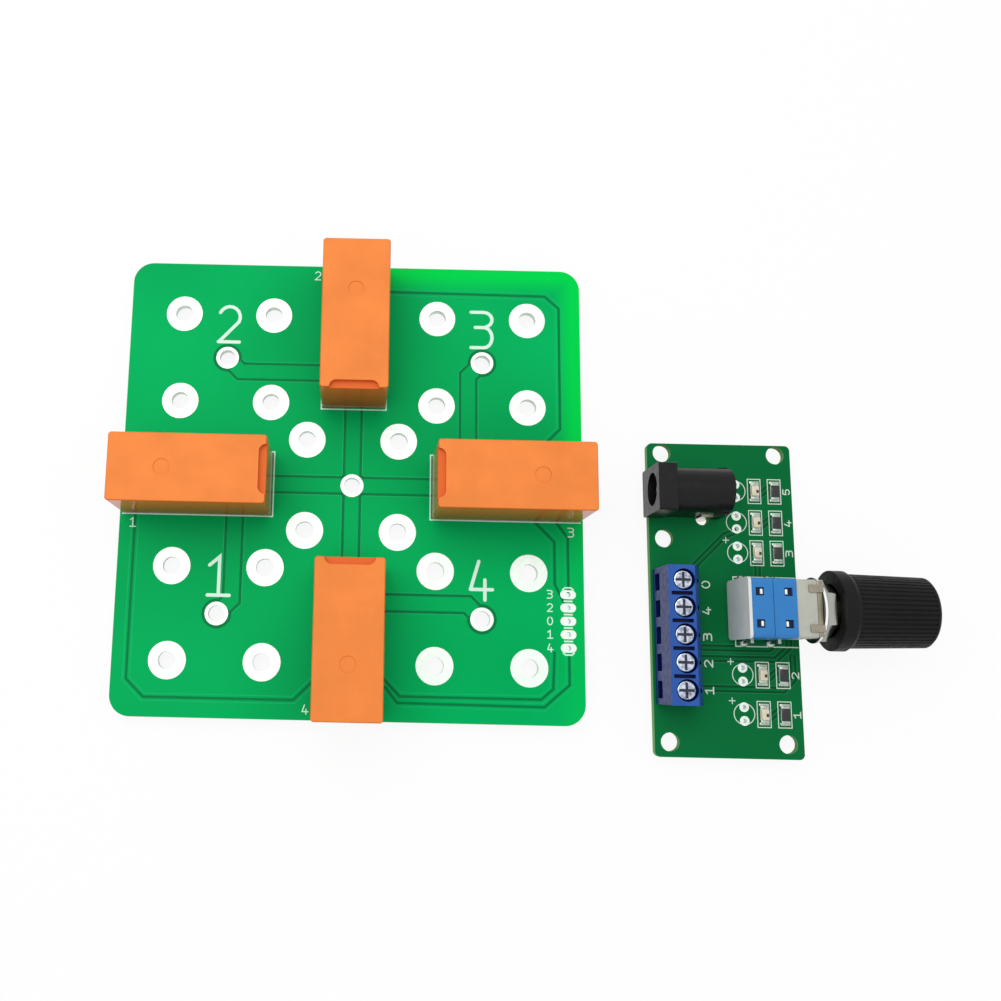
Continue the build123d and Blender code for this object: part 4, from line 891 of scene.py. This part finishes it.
def makeControlPrint(p):
    silk = bmesh.new()
    base, top = boardTop - relayPrint["sink"], boardTop + relayPrint["silkHeight"]
    for figure, row in zip(p["rowFigures"], p["ledRows"]):
        for start, end in p["ringArcs"]:
            ring = arc(p["ledX"], row, p["ledRing"], p["ledRing"], start, end, p["ringSteps"])
            ribbon(silk, onControl(ring), p["line"], base, top)
        plus = (control.x + p["ledX"] + p["plus"][0], control.y + row + p["plus"][1])
        drawFigure(silk, "+", plus, p["plusSize"], p["line"], base, top)
        for x in (p["chipLedX"], p["chipResistorX"]):
            w, h = p["boxHalf"]
            box = [(x - w, row - h), (x + w, row - h), (x + w, row + h), (x - w, row + h)]
            ribbon(silk, onControl(box), p["line"], base, top, closed=True)
        place = (control.x + p["rowFigureX"], control.y + row)
        drawFigure(silk, figure, place, p["rowFigureSize"], p["rowFigureStroke"], base, top, 90)
    for i, figure in enumerate(p["terminalFigures"]):
        place = (control.x + p["terminalFigureX"], control.y + p["terminalTop"] - p["terminalPitch"] * i)
        drawFigure(silk, figure, place, p["terminalFigureSize"], p["terminalFigureStroke"], base, top, 90)
    ribbon(silk, onControl(p["switchOutline"]), p["switchLine"], base, top)
    finished("control_board_print", silk, "controlSilk")


makeControlTracks(controlPrint)
makeControlPrint(controlPrint)
print("control board printed")


# chips: resistors and lights in their solder; halves are across and along the chip, heights over the pads
chips = {
    "pad": 0.05,
    "body": {"half": (0.77, 1.52), "heights": (0, 0.42), "rounding": 0.04},
    "film": {"half": (0.76, 1.18), "heights": (0.4, 0.5), "rounding": 0.03},
    "lens": {"half": (0.72, 1.0), "heights": (0.4, 0.9), "rounding": 0.16},
    "spot": {"half": (0.24, 0.3), "heights": (0.86, 0.92), "rounding": 0.02, "shift": (0.34, -0.15)},
    "end": {"half": (0.8, 0.25), "heights": (0, 0.48), "rounding": 0.06, "shift": (0, 1.35)},
    "solder": {"half": (0.95, 0.26), "heights": (-0.07, 0.14), "rounding": 0.08, "shift": (0, 1.74)},
}


def chipBlock(bm, x, y, part, side=1):
    dx, dy = part.get("shift", (0, 0))
    x, y = x + dx, y + dy * side
    w, h = part["half"]
    low, high = (boardTop + chips["pad"] + v for v in part["heights"])
    block(bm, (x - w, y - h, low), (x + w, y + h, high), part["rounding"])


def makeChips(c):
    resistorBodies, films, ends, solder = bmesh.new(), bmesh.new(), bmesh.new(), bmesh.new()
    ledBases, lenses, spots = bmesh.new(), bmesh.new(), bmesh.new()
    for row in controlPrint["ledRows"]:
        y = control.y + row
        led, resistor = control.x + controlPrint["chipLedX"], control.x + controlPrint["chipResistorX"]
        chipBlock(ledBases, led, y, c["body"])
        chipBlock(lenses, led, y, c["lens"])
        chipBlock(spots, led, y, c["spot"])
        chipBlock(resistorBodies, resistor, y, c["body"])
        chipBlock(films, resistor, y, c["film"])
        for x in (led, resistor):
            for side in (-1, 1):
                chipBlock(ends, x, y, c["end"], side)
                chipBlock(solder, x, y, c["solder"], side)
    finished("resistor_bodies", resistorBodies, "chipCeramic", replaces=("chip_resistors",))
    finished("resistor_films", films, "chipFilm")
    finished("led_bases", ledBases, "chipCeramic", replaces=("indicator_leds",))
    finished("led_lenses", lenses, "ledResin")
    finished("led_spots", spots, "chipFilm")
    finished("chip_ends", ends, "solder")
    finished("chip_solder", solder, "solder")


makeChips(chips)
print("chips made")


# rotary switch: painted shade as dark blocks inside the wafers' windows, bright contact tips in them; depths
# below the wafers' tops
windows = {
    "half": 0.72,
    "fromMiddle": 2.9,
    "fromEnd": 1.5,
    "floor": 0.82,
    "dark": 0.5,
    "tipHalf": (0.225, 0.475),
    "tipShift": 0.35,
    "tipDepths": (0.55, 0.15),
    "tipRounding": 0.08,
}


def makeWindows(w):
    windowShades, tips = bmesh.new(), bmesh.new()
    rear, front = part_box("switch_rear_wafer"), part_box("switch_front_wafer")
    top = rear[1].z / mm
    middle = (rear[0].y + rear[1].y) / 2 / mm
    half = w["half"]
    tipX, tipY = w["tipHalf"]
    foot, tip = (top - v for v in w["tipDepths"])
    for x, side in ((rear[0].x / mm + w["fromEnd"], 1), (front[1].x / mm - w["fromEnd"], -1)):
        for y in (middle - w["fromMiddle"], middle + w["fromMiddle"]):
            block(windowShades, (x - half, y - half, top - w["floor"]), (x + half, y + half, top - w["dark"]))
            at = x + side * w["tipShift"]
            block(tips, (at - tipX, y - tipY, foot), (at + tipX, y + tipY, tip), w["tipRounding"])
    finished("switch_window_shades", windowShades, "windowShade")
    finished("switch_contact_tips", tips, "tin")


makeWindows(windows)
print("switch windows made")


# knob: ink in the pointer groove of its cap; floor and top are depths below the cap's face
pointer = {"inset": 0.08, "halfWidth": 0.36, "floor": 0.32, "top": 0.2}


def makePointer(p):
    bm = bmesh.new()
    low, high = (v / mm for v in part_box("knob_cap"))
    y, z = (low.y + high.y) / 2, (low.z + high.z) / 2
    corner = (high.x - p["floor"], low.y + p["inset"], z - p["halfWidth"])
    block(bm, corner, (high.x - p["top"], y - p["inset"], z + p["halfWidth"]))
    finished("knob_pointer", bm, "pointerInk", "selector")


makePointer(pointer)
print("pointer made")


# solder: joints under both boards, and collars that have risen through the holes beside the switch
solderSizes = {
    "joint": [
        (0, 0.04), (1.05, 0.04), (1.008, -0.06), (0.735, -0.25), (0.546, -0.77), (0.42, -1.1), (0, -1.1)
    ],
    "collar": [(0, -0.03), (0.98, -0.03), (0.9212, 0.12), (0.686, 0.3), (0.42, 0.5), (0, 0.5)],
    "collarFoot": 0.05,
    "steps": 16,
    "relayPins": (2.0, 7.0, 12.0, 27.0),  # from the relay's inner end
    "relayPinSide": 3.75,
    "terminalPinX": -8.45,
    "switchPinX": (3.4, 8.5),
    "switchY": -2.9,
    "switchPinY": (-5.9, -1.9, 1.9, 5.9),
}


def makeSolder(j):
    bm = bmesh.new()
    for c, s in quarters:
        for pin in j["relayPins"]:
            for y in (-j["relayPinSide"], j["relayPinSide"]):
                x = relayPrint["relayReach"] + pin
                lathe(bm, j["joint"], (x * c - y * s, x * s + y * c, 0), j["steps"])
    top, pitch = controlPrint["terminalTop"], controlPrint["terminalPitch"]
    terminals = [(j["terminalPinX"], top - pitch * i) for i in range(len(controlPrint["terminalFigures"]))]
    switch = [(x, j["switchY"] + y) for x in j["switchPinX"] for y in j["switchPinY"]]
    for x, y in onControl(terminals + switch):
        lathe(bm, j["joint"], (x, y, 0), j["steps"])
    outer = (j["switchPinY"][0], j["switchPinY"][-1])
    for x, y in onControl([(x, j["switchY"] + y) for x in j["switchPinX"] for y in outer]):
        lathe(bm, j["collar"], (x, y, boardTop + j["collarFoot"]), j["steps"])
    bmesh.ops.recalc_face_normals(bm, faces=bm.faces)
    finished("solder_joints", bm, "solder")


makeSolder(solderSizes)
print("solder made")


# CAD shapes with rounded edges: the rounding, paint, slot and body of each
easedNodes = {
    "terminal_housing": (0.14, "terminalBlue", "terminal_blue", "boards"),
    "jack_housing": (0.2, "jackBlack", "jack_black", "boards"),
    "jack_center_pin": (0.06, "nickel", "nickel", "boards"),
    "switch_back_plate": (0.1, "switchWhite", "switch_white", "boards"),
    "switch_rear_wafer": (0.12, "switchBlue", "switch_blue", "boards"),
    "switch_front_wafer": (0.12, "switchBlue", "switch_blue", "boards"),
    "switch_detent_housing": (0.2, "switchGrey", "switch_grey", "boards"),
    "switch_front_plate": (0.08, "zincPlate", "zinc_plate", "boards"),
    "switch_nut": (0.14, "nutSteel", "chromed", "boards"),
    "knob_cap": (0.05, "capBlue", "cap_blue", "selector"),
}
for number in range(1, 5):
    easedNodes[f"k{number}_cover"] = (0.12, "coverOrange", "cover_orange", "boards")
for node, look in easedNodes.items():
    eased(node, *look)
print("edges eased")

# the paint of each CAD node that stays
keptNodes = {
    "relay_board": "relayMask",
    "control_board": "controlMask",
    "relay_board_pads": "tin",
    "control_board_pads": "tin",
    "relay_bases": "baseBlack",
    "relay_bobbins": "bobbinIvory",
    "relay_windings": "copperWire",
    "relay_cores": "softIron",
    "relay_yokes": "softIron",
    "relay_fixed_contacts": "contactBronze",
    "relay_common_terminals": "contactBronze",
    "relay_coil_pins": "solder",
    "terminal_pins": "nickel",
    "jack_sleeve_spring": "nickel",
    "jack_break_contact": "nickel",
    "switch_contacts": "solder",
    "detent_ball": "chromed",
    "detent_spring": "nickel",
    "switch_washer": "chromed",
    "switch_shaft": "turnedSteel",
    "switch_rotor": "rotorBlack",
    "knob": "knobBlack",
}
for number in range(1, 5):
    keptNodes[f"k{number}_armature"] = "softIron"
    keptNodes[f"k{number}_card"] = "cardIvory"
    keptNodes[f"k{number}_contact_arm"] = "contactBronze"
for number in range(1, 6):
    keptNodes[f"clamp_screw_{number}"] = "screwSteel"
    keptNodes[f"clamp_cage_{number}"] = "nickel"
for node, paint in keptNodes.items():
    materials = nodes[node].data.materials
    materials.clear()
    materials.append(paints[paint].material)
print("finishes given to", len(keptNodes), "nodes")
